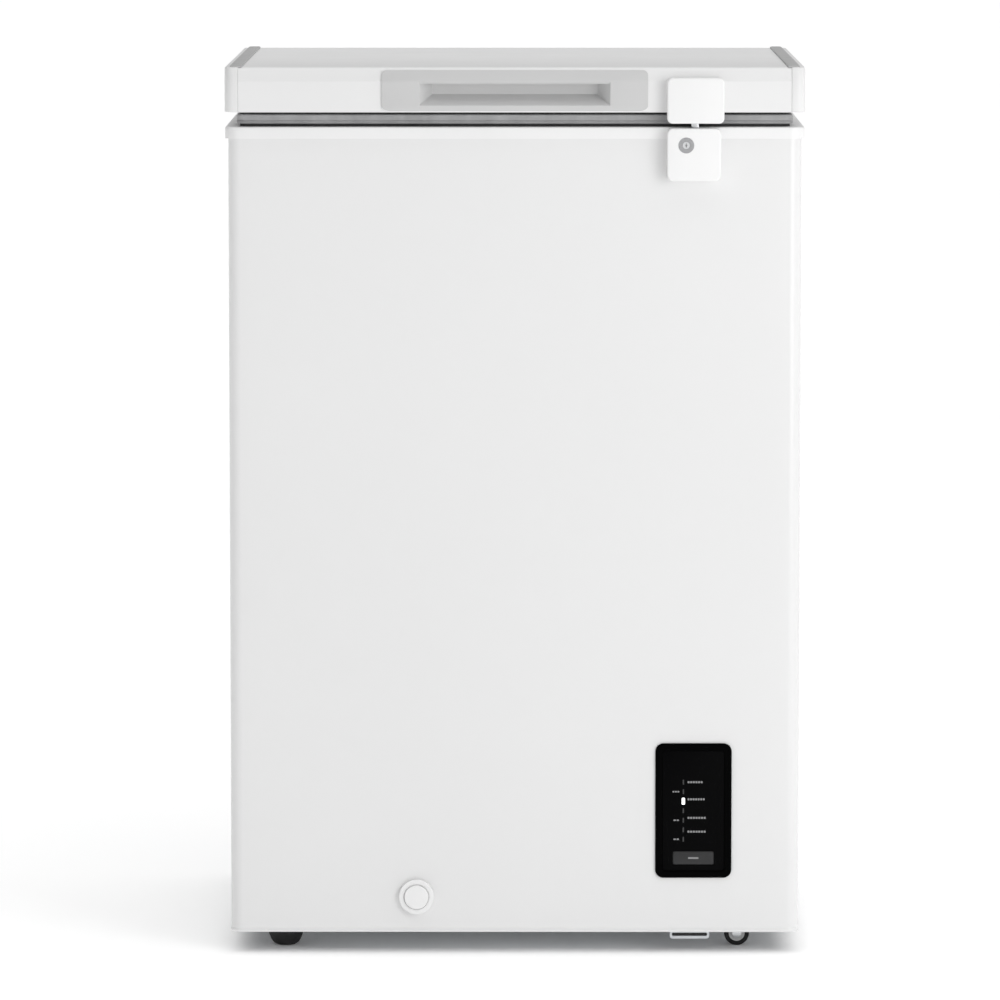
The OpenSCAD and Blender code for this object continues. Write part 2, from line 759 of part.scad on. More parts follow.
module drain_tube() color("white") difference() {
  union() {
    translate([-drain_x, sump_y, drain_z - sump_r - pipe_t])
      cylinder(r = sump_r + pipe_t + 1.2, h = floor_z - liner_t - drain_z + sump_r + pipe_t);
    rod_y(-drain_x, drain_z, drain_bore_r + pipe_t, cab_front, sump_y);
  }
  translate([-drain_x, sump_y, drain_z - sump_r]) cylinder(r = sump_r, h = far);
  rod_y(-drain_x, drain_z, drain_bore_r, cab_front - eps, sump_y);
}

// Cap with a rim, a raised middle disc and a hollow stem that plugs the pipe
module drain_cap() color("white") difference() {
  union() {
    rod_y(-drain_x, drain_z, drain_cap_r, cab_front - cap_rim_t, cab_front - 0.3);
    rod_y(-drain_x, drain_z, drain_cap_r * 0.7, cab_front - cap_rim_t - 2.5, cab_front - 1);
    rod_y(-drain_x, drain_z, drain_bore_r - stem_fit, cab_front - 1, cab_front + stem_l);
  }
  rod_y(-drain_x, drain_z, drain_bore_r - 2.5, cab_front, cab_front + stem_l + eps);
}

module drain_plug() color("white") {
  translate([-drain_x, sump_y, floor_z + 0.1]) cylinder(r = sump_r + 5, h = 4);
  translate([-drain_x, sump_y, floor_z - 9]) cylinder(r = sump_r - stem_fit, h = 10);
  translate([-drain_x - 1.5, sump_y - 6, floor_z + 4]) cube([3, 12, 7]);
}

// ---------- lock ----------

case_mid = (case_low + case_high) / 2;
case_h = case_high - case_low;
module lock_case() color("white") difference() {
  union() {
    difference() {
      facing(case_x, case_mid, case_w, case_h, 6, front_y - lock_out, cab_front);
      facing(case_x, case_mid, case_w - 2 * lock_wall, case_h - 2 * lock_wall, 4,
        front_y - lock_out + lock_wall, far);
    }
    rod_y(barrel_x, barrel_z, barrel_r + 2.5, front_y - lock_out + 1, front_y - 8.5);
  }
  box([-far, front_y, skirt_z], [far, far, far]);
  box([barrel_x + hook_near - 2, cam_y - 3.2, barrel_z], [barrel_x + hook_far + 2, front_y - 1, far]);
  rod_y(barrel_x, barrel_z, barrel_r + run_fit, front_y - lock_out - eps, far);
  rod_y(barrel_x, barrel_z, barrel_flange_r + run_fit, front_y - lock_out - eps,
    front_y - lock_out + barrel_flange_t);
}

// Key barrel with its cam: the cam points up when the lock is open
module lock_barrel() color("gray") difference() {
  union() {
    rod_y(barrel_x, barrel_z, barrel_flange_r, front_y - lock_out,
      front_y - lock_out + barrel_flange_t);
    rod_y(barrel_x, barrel_z, barrel_r, front_y - lock_out + barrel_flange_t, cam_y - 1);
    rod_y(barrel_x, barrel_z, cam_half, cam_y - 1, cam_y);
    intersection() {
      rod_y(barrel_x, barrel_z, cam_r, cam_y, cam_y + cam_t);
      box([barrel_x - cam_half, cam_y, barrel_z - cam_half],
        [barrel_x + cam_half, cam_y + cam_t, far]);
    }
  }
  box([barrel_x - 0.8, -far, barrel_z - 3], [barrel_x + 0.8, front_y - lock_out + 5, barrel_z + 3]);
}

keeper_mid = (keeper_low + keeper_high) / 2;
keeper_h = keeper_high - keeper_low;
module lock_keeper() color("white") difference() {
  facing(lock_x, keeper_mid, lock_w, keeper_h, 5, front_y - lock_out, front_y + 3);
  facing(lock_x, keeper_mid, lock_w - 2 * lock_wall, keeper_h - 2 * lock_wall, 3,
    front_y - lock_out + lock_wall, front_y);
  lid_solid(0);
  box([-far, front_y, 0], [far, far, lid_z + 1]);
  box([barrel_x + hook_near - 1, cam_y - 1, keeper_low - eps],
    [barrel_x + hook_far + 1, front_y, keeper_low + 6]);
}

// Tongue: a mounting plate on the lid, a web, and a hook that the cam turns under
tongue_high = keeper_high - 14;
module lock_tongue() color("lightgray") {
  translate([barrel_x, cam_y + cam_t, barrel_z]) rotate([90, 0, 0]) linear_extrude(cam_t)
    polygon([[hook_near, -7], [hook_far, -7], [hook_far, tongue_high - barrel_z],
      [hook_near, tongue_high - barrel_z], [hook_near, 9], [hook_throat, 9],
      [hook_throat, -3], [hook_near, -3]]);
  box([barrel_x + hook_near, cam_y + cam_t, tongue_high - 10],
    [barrel_x + hook_far, front_y - 1.5, tongue_high]);
  difference() {
    box([lock_x - 18, front_y - 1.5, lid_z + 1.5], [lock_x + 18, front_y, tongue_high]);
    at_keeper_screws() rod_y(0, 0, screw_r, front_y - 5, front_y + eps);
  }
}

module at_keeper_screws() for (dx = [-13, 13])
  translate([lock_x + dx, 0, lid_z + 10]) children();

module keeper_screws() color("silver") at_keeper_screws() {
  rod_y(0, 0, screw_r, front_y - 1.5, front_y + lid_skin_t);
  rod_y(0, 0, 2 * screw_r, front_y - 3.1, front_y - 1.5);
}

// ---------- lid ----------

// The lid's outline, seen from the side, drawn in by a margin
function lid_outline(m) = [
  [front_y + m, lid_z], [front_y + m, lid_top - bevel_h - 0.2 * m],
  [front_y + bevel_d + 0.7 * m, lid_top - m], [back_y - 3 - 0.4 * m, lid_top - m],
  [back_y - m, lid_top - 3 - 0.4 * m], [back_y - m, lid_z]];

module lid_solid(m) along_x(-far, far, lid_outline(m));

// Finger pocket, grown by a margin: a level ceiling, a sloping floor and sloping ends
module pocket(m) intersection() {
  along_x(-far, far, [[front_y - 5, pocket_low - m], [front_y, pocket_low - m],
    [front_y + pocket_d + m, pocket_low + pocket_floor - m],
    [front_y + pocket_d + m, pocket_low + pocket_h + m], [front_y - 5, pocket_low + pocket_h + m]]);
  translate([0, 0, pocket_low - m]) linear_extrude(pocket_h + 2 * m) polygon([
    [-pocket_w / 2 - m, front_y - 5], [pocket_w / 2 + m, front_y - 5],
    [pocket_w / 2 + m, front_y], [pocket_w / 2 - pocket_end + m, front_y + pocket_d + m],
    [-pocket_w / 2 + pocket_end - m, front_y + pocket_d + m], [-pocket_w / 2 - m, front_y]]);
}

module lid_skin() color("white") difference() {
  along_x(-cap_x, cap_x, lid_outline(0));
  along_x(-far, far, concat(lid_outline(lid_skin_t), [[back_y - lid_skin_t, 0], [front_y + lid_skin_t, 0]]));
  pocket(pocket_wall);
  at_keeper_screws() rod_y(0, 0, screw_r, front_y - 5, front_y + 5);
}

module lid_cap(side) color("white") difference() {
  intersection() {
    lid_solid(0);
    prism(overall_w, overall_d, lid_r, lid_z - eps, lid_top + eps);
    box([side > 0 ? cap_x : -far, -far, 0], [side > 0 ? far : -cap_x, far, far]);
  }
  // hollow behind a wall
  intersection() {
    lid_solid(3);
    prism(overall_w - 6, overall_d - 6, lid_r - 3, lid_z + 3, lid_top);
    box([side > 0 ? 0 : -far, -far, 0], [side > 0 ? far : 0, far, far]);
  }
}

module lid_cap_left() lid_cap(-1);
module lid_cap_right() lid_cap(1);

// Trim strip over the joint of the skin and the end cap, with a rounded rear end
module trim_strip(side) color("darkgray") translate([side * strip_x, 0, lid_top])
  linear_extrude(strip_proud) {
    translate([-strip_w / 2, front_y + bevel_d])
      square([strip_w, overall_d - bevel_d - 4 - strip_w / 2]);
    translate([0, back_y - 4 - strip_w / 2]) circle(strip_w / 2);
  }

module trim_strip_left() trim_strip(-1);
module trim_strip_right() trim_strip(1);

module lid_foam() color("khaki") difference() {
  union() {
    intersection() {
      along_x(-cap_x, cap_x, lid_outline(lid_skin_t));
      box([-far, -far, lid_z + panel_t], [far, far, far]);
    }
    prism(plug_w - 2 * panel_t, plug_d - 2 * panel_t, plug_r - panel_t, plug_z + panel_t,
      lid_z + panel_t);
  }
  pocket(pocket_wall);
  at_keeper_screws() rod_y(0, 0, screw_r, front_y - 5, front_y + lid_skin_t + 0.1);
}

module lid_inner_panel() color("white") difference() {
  union() {
    box([-cap_x, front_y + lid_skin_t, lid_z], [cap_x, back_y - lid_skin_t, lid_z + panel_t]);
    prism(plug_w, plug_d, plug_r, plug_z, lid_z + panel_t / 2);
  }
  prism(plug_w - 2 * panel_t, plug_d - 2 * panel_t, plug_r - panel_t, plug_z + panel_t, far);
}

// Magnetic gasket: a bellows that closes against the collar, with a mounting tongue inside
module lid_gasket() color("darkgray") difference() {
  union() {
    seal_ring(0, seal_w, collar_z, collar_z + 5);
    seal_ring(3, seal_w - 3, collar_z + 5, lid_z - 4);
    seal_ring(0, seal_w, lid_z - 4, lid_z);
  }
}

module seal_ring(from, to, z0, z1) difference() {
  prism(overall_w - 2 * (seal_inset + from), overall_d - 2 * (seal_inset + from), seal_r,
    z0, z1);
  prism(overall_w - 2 * (seal_inset + to), overall_d - 2 * (seal_inset + to), 4,
    z0 - eps, z1 + eps);
}

module handle_insert() color("silver") difference() {
  union() {
    intersection() {
      difference() {
        along_x(-far, far, [[front_y - handle_proud, insert_low],
          [front_y - handle_proud, lid_top - bevel_h + 0.2],
          [front_y + bevel_d - 1, lid_top + strip_proud - 0.3],
          [front_y + bevel_d + 3, lid_top + strip_proud - 0.3],
          [front_y + bevel_d + 3, insert_low]]);
        lid_solid(0);
      }
      facing(0, (insert_low + insert_high) / 2, handle_w, insert_high - insert_low, 7,
        front_y - 9, front_y + 99);
    }
    intersection() {
      pocket(pocket_wall);
      box([-far, front_y - handle_proud, 0], [far, far, far]);
    }
  }
  pocket(0);
}

// ---------- hinges ----------

module at_hinges() for (side = [-1, 1]) translate([side * hinge_x, 0, 0]) children();

block_top = axis_z - barrel_out_r - 1;
base_t = 5;
module hinge_bases() color("white") at_hinges() difference() {
  union() {
    along_x(-base_w / 2, base_w / 2, [[cab_back, axis_z - 92], [cab_back + base_t, axis_z - 92],
      [cab_back + base_t, axis_z - 46], [axis_y + 2, axis_z - 34], [axis_y + 2, block_top],
      [back_y + 0.4, block_top], [back_y + 0.4, skirt_z - 1], [cab_back, skirt_z - 1]]);
    for (side = [-1, 1]) {
      x0 = side > 0 ? base_w / 2 - knuckle_w : -base_w / 2;
      rod_x(axis_y, axis_z, barrel_out_r, x0, x0 + knuckle_w);
      box([x0, axis_y - 5, block_top - 1], [x0 + knuckle_w, axis_y + 2, axis_z]);
    }
  }
  rod_x(axis_y, axis_z, pin_r, -base_w, base_w);
  at_base_screws() rod_y(0, 0, screw_r, -base_t - eps, eps);
}

module at_base_screws() for (dx = [-18, 18], dz = [-82, -56])
  translate([dx, cab_back + base_t, axis_z + dz]) children();

module hinge_screws() color("silver") at_hinges() at_base_screws() {
  rod_y(0, 0, screw_r, -base_t, 0);
  rod_y(0, 0, 2 * screw_r, 0, 1.6);
}

module hinge_pins() color("silver") at_hinges() {
  rod_x(axis_y, axis_z, pin_r, -base_w / 2 - 1, base_w / 2 + 1);
  rod_x(axis_y, axis_z, pin_r + 1.5, base_w / 2, base_w / 2 + 1.5);
}

// Torsion springs round the pins, on both sides of each leaf
spring_wire_r = 1.1;
module hinge_springs() color("dimgray") at_hinges() for (side = [-1, 1], i = [0:4])
  translate([side * (leaf_w / 2 + 2 + i * 2.3), axis_y, axis_z]) rotate([0, 90, 0])
    rotate_extrude() translate([pin_r + 0.4 + spring_wire_r, 0]) circle(spring_wire_r);

module hinge_leaves() color("white") at_hinges() difference() {
  union() {
    box([-base_w / 2, back_y, lid_z + 3], [base_w / 2, back_y + 2.5, lid_top - 6]);
    box([-leaf_w / 2, back_y, axis_z], [leaf_w / 2, axis_y + 1, lid_z + 8]);
    rod_x(axis_y, axis_z, barrel_out_r, -leaf_w / 2, leaf_w / 2);
  }
  rod_x(axis_y, axis_z, pin_r + run_fit, -base_w, base_w);
  at_leaf_screws() rod_y(0, 0, screw_r, -20, 20);
}

module at_leaf_screws() for (dx = [-22, 22], dz = [10, 26])
  translate([dx, back_y + 2.5, lid_z + dz]) children();

module leaf_screws() color("silver") at_hinges() at_leaf_screws() {
  rod_y(0, 0, screw_r, -2.5, 1.4);
  rod_y(0, 0, 2 * screw_r, 0, 1.4);
}

// ---------- basket ----------

module basket() color("lightgray") translate([basket_x, 0, 0]) {
  difference() {
    prism(basket_w, basket_d, 14, basket_top - basket_h, basket_top);
    prism(basket_w - 2 * basket_wall, basket_d - 2 * basket_wall, 14 - basket_wall,
      basket_top - basket_h + basket_wall, far);
  }
  for (side = [-1, 1]) {
    y0 = mid_y + (side > 0 ? basket_d / 2 : -open_d / 2 + 1.2);
    box([-basket_w / 2 + 12, y0, ledge_z], [basket_w / 2 - 12, y0 + open_d / 2 - basket_d / 2 - 1.2,
      basket_top]);
  }
}

outer_cabinet();
back_panel();
bottom_pan();
inner_liner();
cabinet_foam();
top_collar();
evaporator_coil();
condenser_coil();
base_plate();
compressor();
compressor_grommets();
compressor_bolts();
start_relay();
filter_drier();
capillary_tube();
suction_line();
discharge_line();
rear_grille();
grille_screws();
cord_gland();
foot_sockets();
foot_front();
foot_rear();
wheel_front_hub();
wheel_rear_hub();
wheel_front_tyre();
wheel_rear_tyre();
axle_studs();
panel_bezel();
panel_window();
panel_lamps();
panel_board();
panel_housing();
mode_button();
temperature_sensor();
drain_tube();
drain_cap();
drain_plug();
lock_case();
lock_barrel();
hinge_bases();
hinge_pins();
hinge_springs();
hinge_screws();
lid_skin();
lid_cap_left();
lid_cap_right();
trim_strip_left();
trim_strip_right();
lid_foam();
lid_inner_panel();
lid_gasket();
handle_insert();
lock_keeper();
lock_tongue();
keeper_screws();
hinge_leaves();
leaf_screws();
basket();
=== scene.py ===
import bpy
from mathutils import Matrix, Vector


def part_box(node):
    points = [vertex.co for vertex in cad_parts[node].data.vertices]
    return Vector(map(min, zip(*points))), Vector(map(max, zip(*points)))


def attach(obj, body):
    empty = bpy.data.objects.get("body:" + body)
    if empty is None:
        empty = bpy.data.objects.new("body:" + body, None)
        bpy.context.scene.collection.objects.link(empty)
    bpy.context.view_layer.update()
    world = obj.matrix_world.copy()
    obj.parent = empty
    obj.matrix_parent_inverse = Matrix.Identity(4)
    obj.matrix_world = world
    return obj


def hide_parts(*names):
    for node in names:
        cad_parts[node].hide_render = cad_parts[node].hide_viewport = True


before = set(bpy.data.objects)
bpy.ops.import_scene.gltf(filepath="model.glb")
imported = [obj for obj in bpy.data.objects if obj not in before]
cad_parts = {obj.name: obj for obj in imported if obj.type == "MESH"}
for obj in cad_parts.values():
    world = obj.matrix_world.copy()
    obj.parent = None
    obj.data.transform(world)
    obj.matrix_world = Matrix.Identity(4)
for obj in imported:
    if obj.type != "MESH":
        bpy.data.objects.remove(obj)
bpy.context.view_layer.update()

import math

import bmesh
import bpy
from mathutils import Vector

MM = 0.001
QUARTER = math.pi / 2
SMOOTH_ANGLE = math.radians(32)
MERGE = 0.005 * MM


# ---------- working at the bench ----------

def activate(piece):
    """Select one piece alone and make it the active one."""
    if bpy.context.mode != "OBJECT":
        bpy.ops.object.mode_set(mode="OBJECT")
    bpy.ops.object.select_all(action="DESELECT")
    piece.select_set(True)
    bpy.context.view_layer.objects.active = piece


def settle(piece, name):
    """Name a new piece and put its place, turn and size into its mesh."""
    piece.name = name
    piece.data.name = name
    activate(piece)
    bpy.ops.object.transform_apply(location=True, rotation=True, scale=True)
    return piece


def block(name, low, high):
    """A box between two corners."""
    low, high = Vector(low), Vector(high)
    bpy.ops.object.select_all(action="DESELECT")
    bpy.ops.mesh.primitive_cube_add(size=1, location=(low + high) / 2)
    bpy.context.object.scale = high - low
    return settle(bpy.context.object, name)


def rod(name, centre, radius, length, along, sides=64):
    """A round bar with its middle at centre, along X, Y or Z."""
    turns = {"X": (0, QUARTER, 0), "Y": (QUARTER, 0, 0), "Z": (0, 0, 0)}
    bpy.ops.object.select_all(action="DESELECT")
    bpy.ops.mesh.primitive_cylinder_add(
        vertices=sides, radius=radius, depth=length, location=centre, rotation=turns[along])
    return settle(bpy.context.object, name)


def pick(piece, kind, test):
    """Go into edit mode with just the points, edges or faces that pass the test picked."""
    activate(piece)
    bpy.ops.object.mode_set(mode="EDIT")
    bpy.ops.mesh.select_mode(type=kind)
    bpy.ops.mesh.select_all(action="DESELECT")
    grid = bmesh.from_edit_mesh(piece.data)
    chosen = [item for item in {"VERT": grid.verts, "EDGE": grid.edges, "FACE": grid.faces}[kind]
              if test(item)]
    for item in chosen:
        item.select_set(True)
    bmesh.update_edit_mesh(piece.data)
    return len(chosen)


def leave():
    bpy.ops.object.mode_set(mode="OBJECT")


def draw_out(move):
    """Pull new walls out of the picked faces, or push them in."""
    bpy.ops.mesh.extrude_region_move(TRANSFORM_OT_translate={"value": move})


def scale_picked(value, about):
    """Scale what is picked about a point."""
    bpy.ops.transform.resize(value=value, center_override=about)


def runs(edge, along):
    """True if an edge runs along X, Y or Z."""
    line = (edge.verts[1].co - edge.verts[0].co).normalized()
    return abs(line["XYZ".index(along)]) > 0.999


def faces_to(face, direction):
    return face.normal.dot(Vector(direction)) > 0.99


def near(value, place, reach=0.05 * MM):
    return abs(value - place) < reach


def middle(item):
    """The middle of an edge or face."""
    points = [v.co for v in item.verts]
    return sum(points, Vector()) / len(points)


def round_edges(piece, test, radius, steps=6):
    """Round the edges that pass the test."""
    if pick(piece, "EDGE", test):
        bpy.ops.mesh.bevel(offset=radius, offset_type="OFFSET", segments=steps, profile=0.5,
                           affect="EDGES", clamp_overlap=True)
    leave()


def slice_at(piece, point, normal):
    """Cut a new line of edges all round a piece where a plane crosses it."""
    pick(piece, "FACE", lambda face: True)
    bpy.ops.mesh.bisect(plane_co=point, plane_no=normal)
    leave()


def remove_faces(piece, test):
    if pick(piece, "FACE", test):
        bpy.ops.mesh.delete(type="FACE")
    leave()


def carve(piece, tool, operation="DIFFERENCE"):
    """Cut a tool's shape out of a piece, or add it, and put the tool away."""
    activate(piece)
    cut = piece.modifiers.new("cut", "BOOLEAN")
    cut.operation = operation
    cut.solver = "EXACT"
    cut.object = tool
    bpy.ops.object.modifier_apply(modifier="cut")
    bpy.data.objects.remove(tool)


def thicken(piece, thickness, offset=-1):
    """Give a sheet its thickness, inwards from its outside."""
    activate(piece)
    wall = piece.modifiers.new("wall", "SOLIDIFY")
    wall.thickness = thickness
    wall.offset = offset
    wall.use_even_offset = True
    bpy.ops.object.modifier_apply(modifier="wall")


def ease(piece, width, steps=3, angle=30):
    """Break every sharp edge, then smooth the shading."""
    activate(piece)
    bevel = piece.modifiers.new("ease", "BEVEL")
    bevel.width = width
    bevel.segments = steps
    bevel.limit_method = "ANGLE"
    bevel.angle_limit = math.radians(angle)
    bevel.harden_normals = False
    bpy.ops.object.modifier_apply(modifier="ease")
    smooth(piece)


def smooth(piece):
    activate(piece)
    bpy.ops.object.shade_smooth_by_angle(angle=SMOOTH_ANGLE)


def join(name, pieces):
    """Make several pieces one mesh."""
    activate(pieces[0])
    for piece in pieces[1:]:
        piece.select_set(True)
    bpy.ops.object.join()
    pieces[0].name = name
    pieces[0].data.name = name
    return pieces[0]


def copy_of(piece, name, move=(0, 0, 0)):
    """A second piece with its own mesh, moved."""
    activate(piece)
    bpy.ops.object.duplicate()
    twin = bpy.context.object
    twin.location = Vector(twin.location) + Vector(move)
    return settle(twin, name)


def mirrored(piece, name):
    """A second piece on the other side of the middle."""
    activate(piece)
    bpy.ops.object.duplicate()
    twin = bpy.context.object
    twin.scale.x = -1
    settle(twin, name)
    pick(twin, "FACE", lambda face: True)
    bpy.ops.mesh.normals_make_consistent(inside=False)
    leave()
    smooth(twin)
    return twin


def place(piece, material, body, slot, *nodes):
    """Give a finished piece its material and its body, and hide the frame nodes it stands for. The
    slot is not used.
    """
    piece.data.materials.clear()
    piece.data.materials.append(material)
    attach(piece, body)
    if nodes:
        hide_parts(*nodes)
    return piece


def tube(name, points, radius, corner, steps=8):
    """A bent tube through points, with each corner rounded."""
    points = [Vector(p) for p in points]
    path = [points[0]]
    for before, here, after in zip(points, points[1:], points[2:]):
        into = (here - before).normalized()
        out = (after - here).normalized()
        start = here - into * corner
        end = here + out * corner
        for i in range(steps + 1):
            t = i / steps
            path.append(start.lerp(here, t).lerp(here.lerp(end, t), t))
    path.append(points[-1])
    line = bpy.data.curves.new(name, "CURVE")
    line.dimensions = "3D"
    line.bevel_depth = radius
    line.bevel_resolution = 6
    line.use_fill_caps = True
    spline = line.splines.new("POLY")
    spline.points.add(len(path) - 1)
    for knot, spot in zip(spline.points, path):
        knot.co = (*spot, 1)
    piece = bpy.data.objects.new(name, line)
    bpy.context.scene.collection.objects.link(piece)
    activate(piece)
    bpy.ops.object.convert(target="MESH")
    piece = bpy.context.object
    pick(piece, "VERT", lambda v: True)
    bpy.ops.mesh.remove_doubles(threshold=MERGE)
    leave()
    smooth(piece)
    return piece


# ---------- finishes ----------

class Finish:
    """A material under construction: its nodes, its shader and its object coordinates."""

    def __init__(self, name, colour, roughness, metallic=0.0):
        self.material = bpy.data.materials.new(name)
        self.material.use_nodes = True
        self.nodes = self.material.node_tree.nodes
        self.links = self.material.node_tree.links
        self.shader = self.nodes["Principled BSDF"]
        self.shader.inputs["Base Color"].default_value = (*colour, 1)
        self.shader.inputs["Roughness"].default_value = roughness
        self.shader.inputs["Metallic"].default_value = metallic
        self.place = self.nodes.new("ShaderNodeTexCoord").outputs["Object"]
        self.colour = colour
        self.roughness = roughness

    def noise(self, scale, detail=3.0, stretch=(1, 1, 1), roughness=0.5):
        where = self.place
        if tuple(stretch) != (1, 1, 1):
            mapping = self.nodes.new("ShaderNodeMapping")
            mapping.inputs["Scale"].default_value = stretch
            self.links.new(where, mapping.inputs["Vector"])
            where = mapping.outputs["Vector"]
        grain = self.nodes.new("ShaderNodeTexNoise")
        grain.inputs["Scale"].default_value = scale
        grain.inputs["Detail"].default_value = detail
        grain.inputs["Roughness"].default_value = roughness
        self.links.new(where, grain.inputs["Vector"])
        return grain.outputs["Fac"]

    def cells(self, scale):
        cell = self.nodes.new("ShaderNodeTexVoronoi")
        cell.inputs["Scale"].default_value = scale
        self.links.new(self.place, cell.inputs["Vector"])
        return cell.outputs["Distance"]

    def spread(self, value, low, high, floor=0.3, ceiling=0.7):
        """Stretch a pattern onto a range."""
        scale = self.nodes.new("ShaderNodeMapRange")
        scale.inputs["From Min"].default_value = floor
        scale.inputs["From Max"].default_value = ceiling
        scale.inputs["To Min"].default_value = low
        scale.inputs["To Max"].default_value = high
        self.links.new(value, scale.inputs["Value"])
        return scale.outputs["Result"]

    def tint(self, pattern, darker):
        """Vary the colour between itself and a darker shade where the pattern is low."""
        ramp = self.nodes.new("ShaderNodeValToRGB")
        ramp.color_ramp.elements[0].position = 0.3
        ramp.color_ramp.elements[0].color = (*[c * darker for c in self.colour], 1)
        ramp.color_ramp.elements[1].position = 0.7
        ramp.color_ramp.elements[1].color = (*self.colour, 1)
        self.links.new(pattern, ramp.inputs["Fac"])
        self.links.new(ramp.outputs["Color"], self.shader.inputs["Base Color"])

    def sheen(self, pattern, amount):
        """Vary the roughness either way by an amount."""
        self.links.new(self.spread(pattern, self.roughness - amount, self.roughness + amount),
                       self.shader.inputs["Roughness"])

    def relief(self, pattern, height, strength=1.0):
        bump = self.nodes.new("ShaderNodeBump")
        bump.inputs["Distance"].default_value = height
        bump.inputs["Strength"].default_value = strength
        self.links.new(pattern, bump.inputs["Height"])
        self.links.new(bump.outputs["Normal"], self.shader.inputs["Normal"])


def enamel(name, colour, roughness=0.34):
    """Baked enamel on steel: a faint orange peel under a soft gloss."""
    finish = Finish(name, colour, roughness)
    finish.tint(finish.noise(3.5, 2), 0.985)
    finish.sheen(finish.noise(22, 3), 0.03)
    finish.relief(finish.noise(420, 2), 0.00002, 0.5)
    finish.shader.inputs["Coat Weight"].default_value = 0.25
    finish.shader.inputs["Coat Roughness"].default_value = 0.22
    return finish.material


def moulding(name, colour, roughness=0.42, grain=900, depth=0.00002):
    """Injection-moulded plastic with a fine spark-eroded grain."""
    finish = Finish(name, colour, roughness)
    finish.tint(finish.noise(9, 2), 0.975)
    finish.sheen(finish.noise(40, 3), 0.05)
    finish.relief(finish.noise(grain, 2), depth, 0.6)
    return finish.material


def rubber(name, colour, roughness=0.72):
    finish = Finish(name, colour, roughness)
    finish.tint(finish.noise(60, 4), 0.8)
    finish.sheen(finish.noise(90, 3), 0.08)
    finish.relief(finish.noise(700, 3), 0.00004, 0.7)
    return finish.material


def bare_metal(name, colour, roughness=0.35, brush=(1, 1, 30), scale=60):
    """Rolled or plated metal, with fine lines along its rolling direction."""
    finish = Finish(name, colour, roughness, 1.0)
    lines = finish.noise(scale, 4, brush)
    finish.tint(lines, 0.86)
    finish.sheen(finish.noise(scale * 0.6, 3, brush), 0.08)
    finish.relief(lines, 0.00001, 0.4)
    return finish.material


def spangled(name, colour):
    """Galvanised sheet with its zinc crystals."""
    finish = Finish(name, colour, 0.42, 1.0)
    crystals = finish.cells(150)
    finish.tint(crystals, 0.93)
    finish.sheen(crystals, 0.06)
    finish.relief(finish.noise(160, 3), 0.00002, 0.4)
    return finish.material


def stucco(name, colour, metallic, roughness):
    """Embossed liner sheet: an even pebble pattern."""
    finish = Finish(name, colour, roughness, metallic)
    pebbles = finish.cells(190)
    finish.tint(finish.noise(6, 2), 0.97)
    finish.sheen(finish.noise(30, 3), 0.05)
    finish.relief(pebbles, 0.0003, 0.55)
    return finish.material


def foamed(name, colour):
    finish = Finish(name, colour, 0.9)
    finish.tint(finish.noise(120, 5), 0.8)
    finish.sheen(finish.noise(200, 3), 0.05)
    finish.relief(finish.cells(900), 0.0003, 0.8)
    return finish.material


def black_glass(name, colour, roughness):
    """Dark gloss plastic that throws back very little light."""
    finish = Finish(name, colour, roughness)
    finish.tint(finish.noise(14, 2), 0.85)
    finish.sheen(finish.noise(30, 3), 0.03)
    finish.relief(finish.noise(500, 2), 0.00001, 0.3)
    finish.shader.inputs["Specular IOR Level"].default_value = 0.02
    return finish.material


def glow(name, colour, strength):
    finish = Finish(name, colour, 0.5)
    finish.sheen(finish.noise(300, 2), 0.05)
    finish.shader.inputs["Emission Color"].default_value = (*colour, 1)
    finish.shader.inputs["Emission Strength"].default_value = strength
    return finish.material


white_enamel = enamel("white_enamel", (0.75, 0.75, 0.75))
lid_enamel = enamel("lid_enamel", (0.76, 0.76, 0.76))
white_moulding = moulding("white_moulding", (0.82, 0.82, 0.82), 0.42)
cap_moulding = moulding("cap_moulding", (0.74, 0.74, 0.74), 0.42)
collar_moulding = moulding("collar_moulding", (0.80, 0.80, 0.80), 0.38)
strip_grey = moulding("strip_grey", (0.42, 0.42, 0.42), 0.5)
handle_grey = moulding("handle_grey", (0.55, 0.55, 0.55), 0.46)
gasket_vinyl = rubber("gasket_vinyl", (0.40, 0.40, 0.405), 0.6)
# painted shade: near-black for the seal's necks, standing in for the shadow in its gaps
gasket_painted_shade = rubber("gasket_painted_shade", (0.03, 0.03, 0.03), 0.7)
liner_stucco = stucco("liner_stucco", (0.80, 0.81, 0.82), 0.0, 0.35)
lid_liner = moulding("lid_liner", (0.80, 0.81, 0.82), 0.32)
panel_gloss = black_glass("panel_gloss", (0.0006, 0.0006, 0.0007), 0.16)
window_gloss = black_glass("window_gloss", (0.0022, 0.0022, 0.0024), 0.2)
button_matte = moulding("button_matte", (0.011, 0.011, 0.012), 0.55)
print_grey = glow("print_grey", (0.24, 0.24, 0.245), 0.0)
lamp_off = moulding("lamp_off", (0.02, 0.02, 0.021), 0.4)
lamp_on = glow("lamp_on", (1.0, 1.0, 1.0), 1.2)
lock_steel = bare_metal("lock_steel", (0.42, 0.42, 0.43), 0.3, (1, 1, 1), 300)
zinc_plate = bare_metal("zinc_plate", (0.70, 0.71, 0.72), 0.32)
spring_steel = bare_metal("spring_steel", (0.30, 0.30, 0.31), 0.4)
galvanised = spangled("galvanised", (0.62, 0.64, 0.66))
hinge_enamel = enamel("hinge_enamel", (0.78, 0.78, 0.78), 0.4)
copper_tube = bare_metal("copper_tube", (0.75, 0.36, 0.22), 0.3, (1, 1, 8), 90)
coil_metal = bare_metal("coil_metal", (0.78, 0.79, 0.80), 0.35)
black_enamel = enamel("black_enamel", (0.012, 0.012, 0.013), 0.3)
black_moulding = moulding("black_moulding", (0.02, 0.02, 0.02), 0.55)
black_rubber = rubber("black_rubber", (0.014, 0.014, 0.014))
tyre_rubber = rubber("tyre_rubber", (0.009, 0.009, 0.009), 0.8)
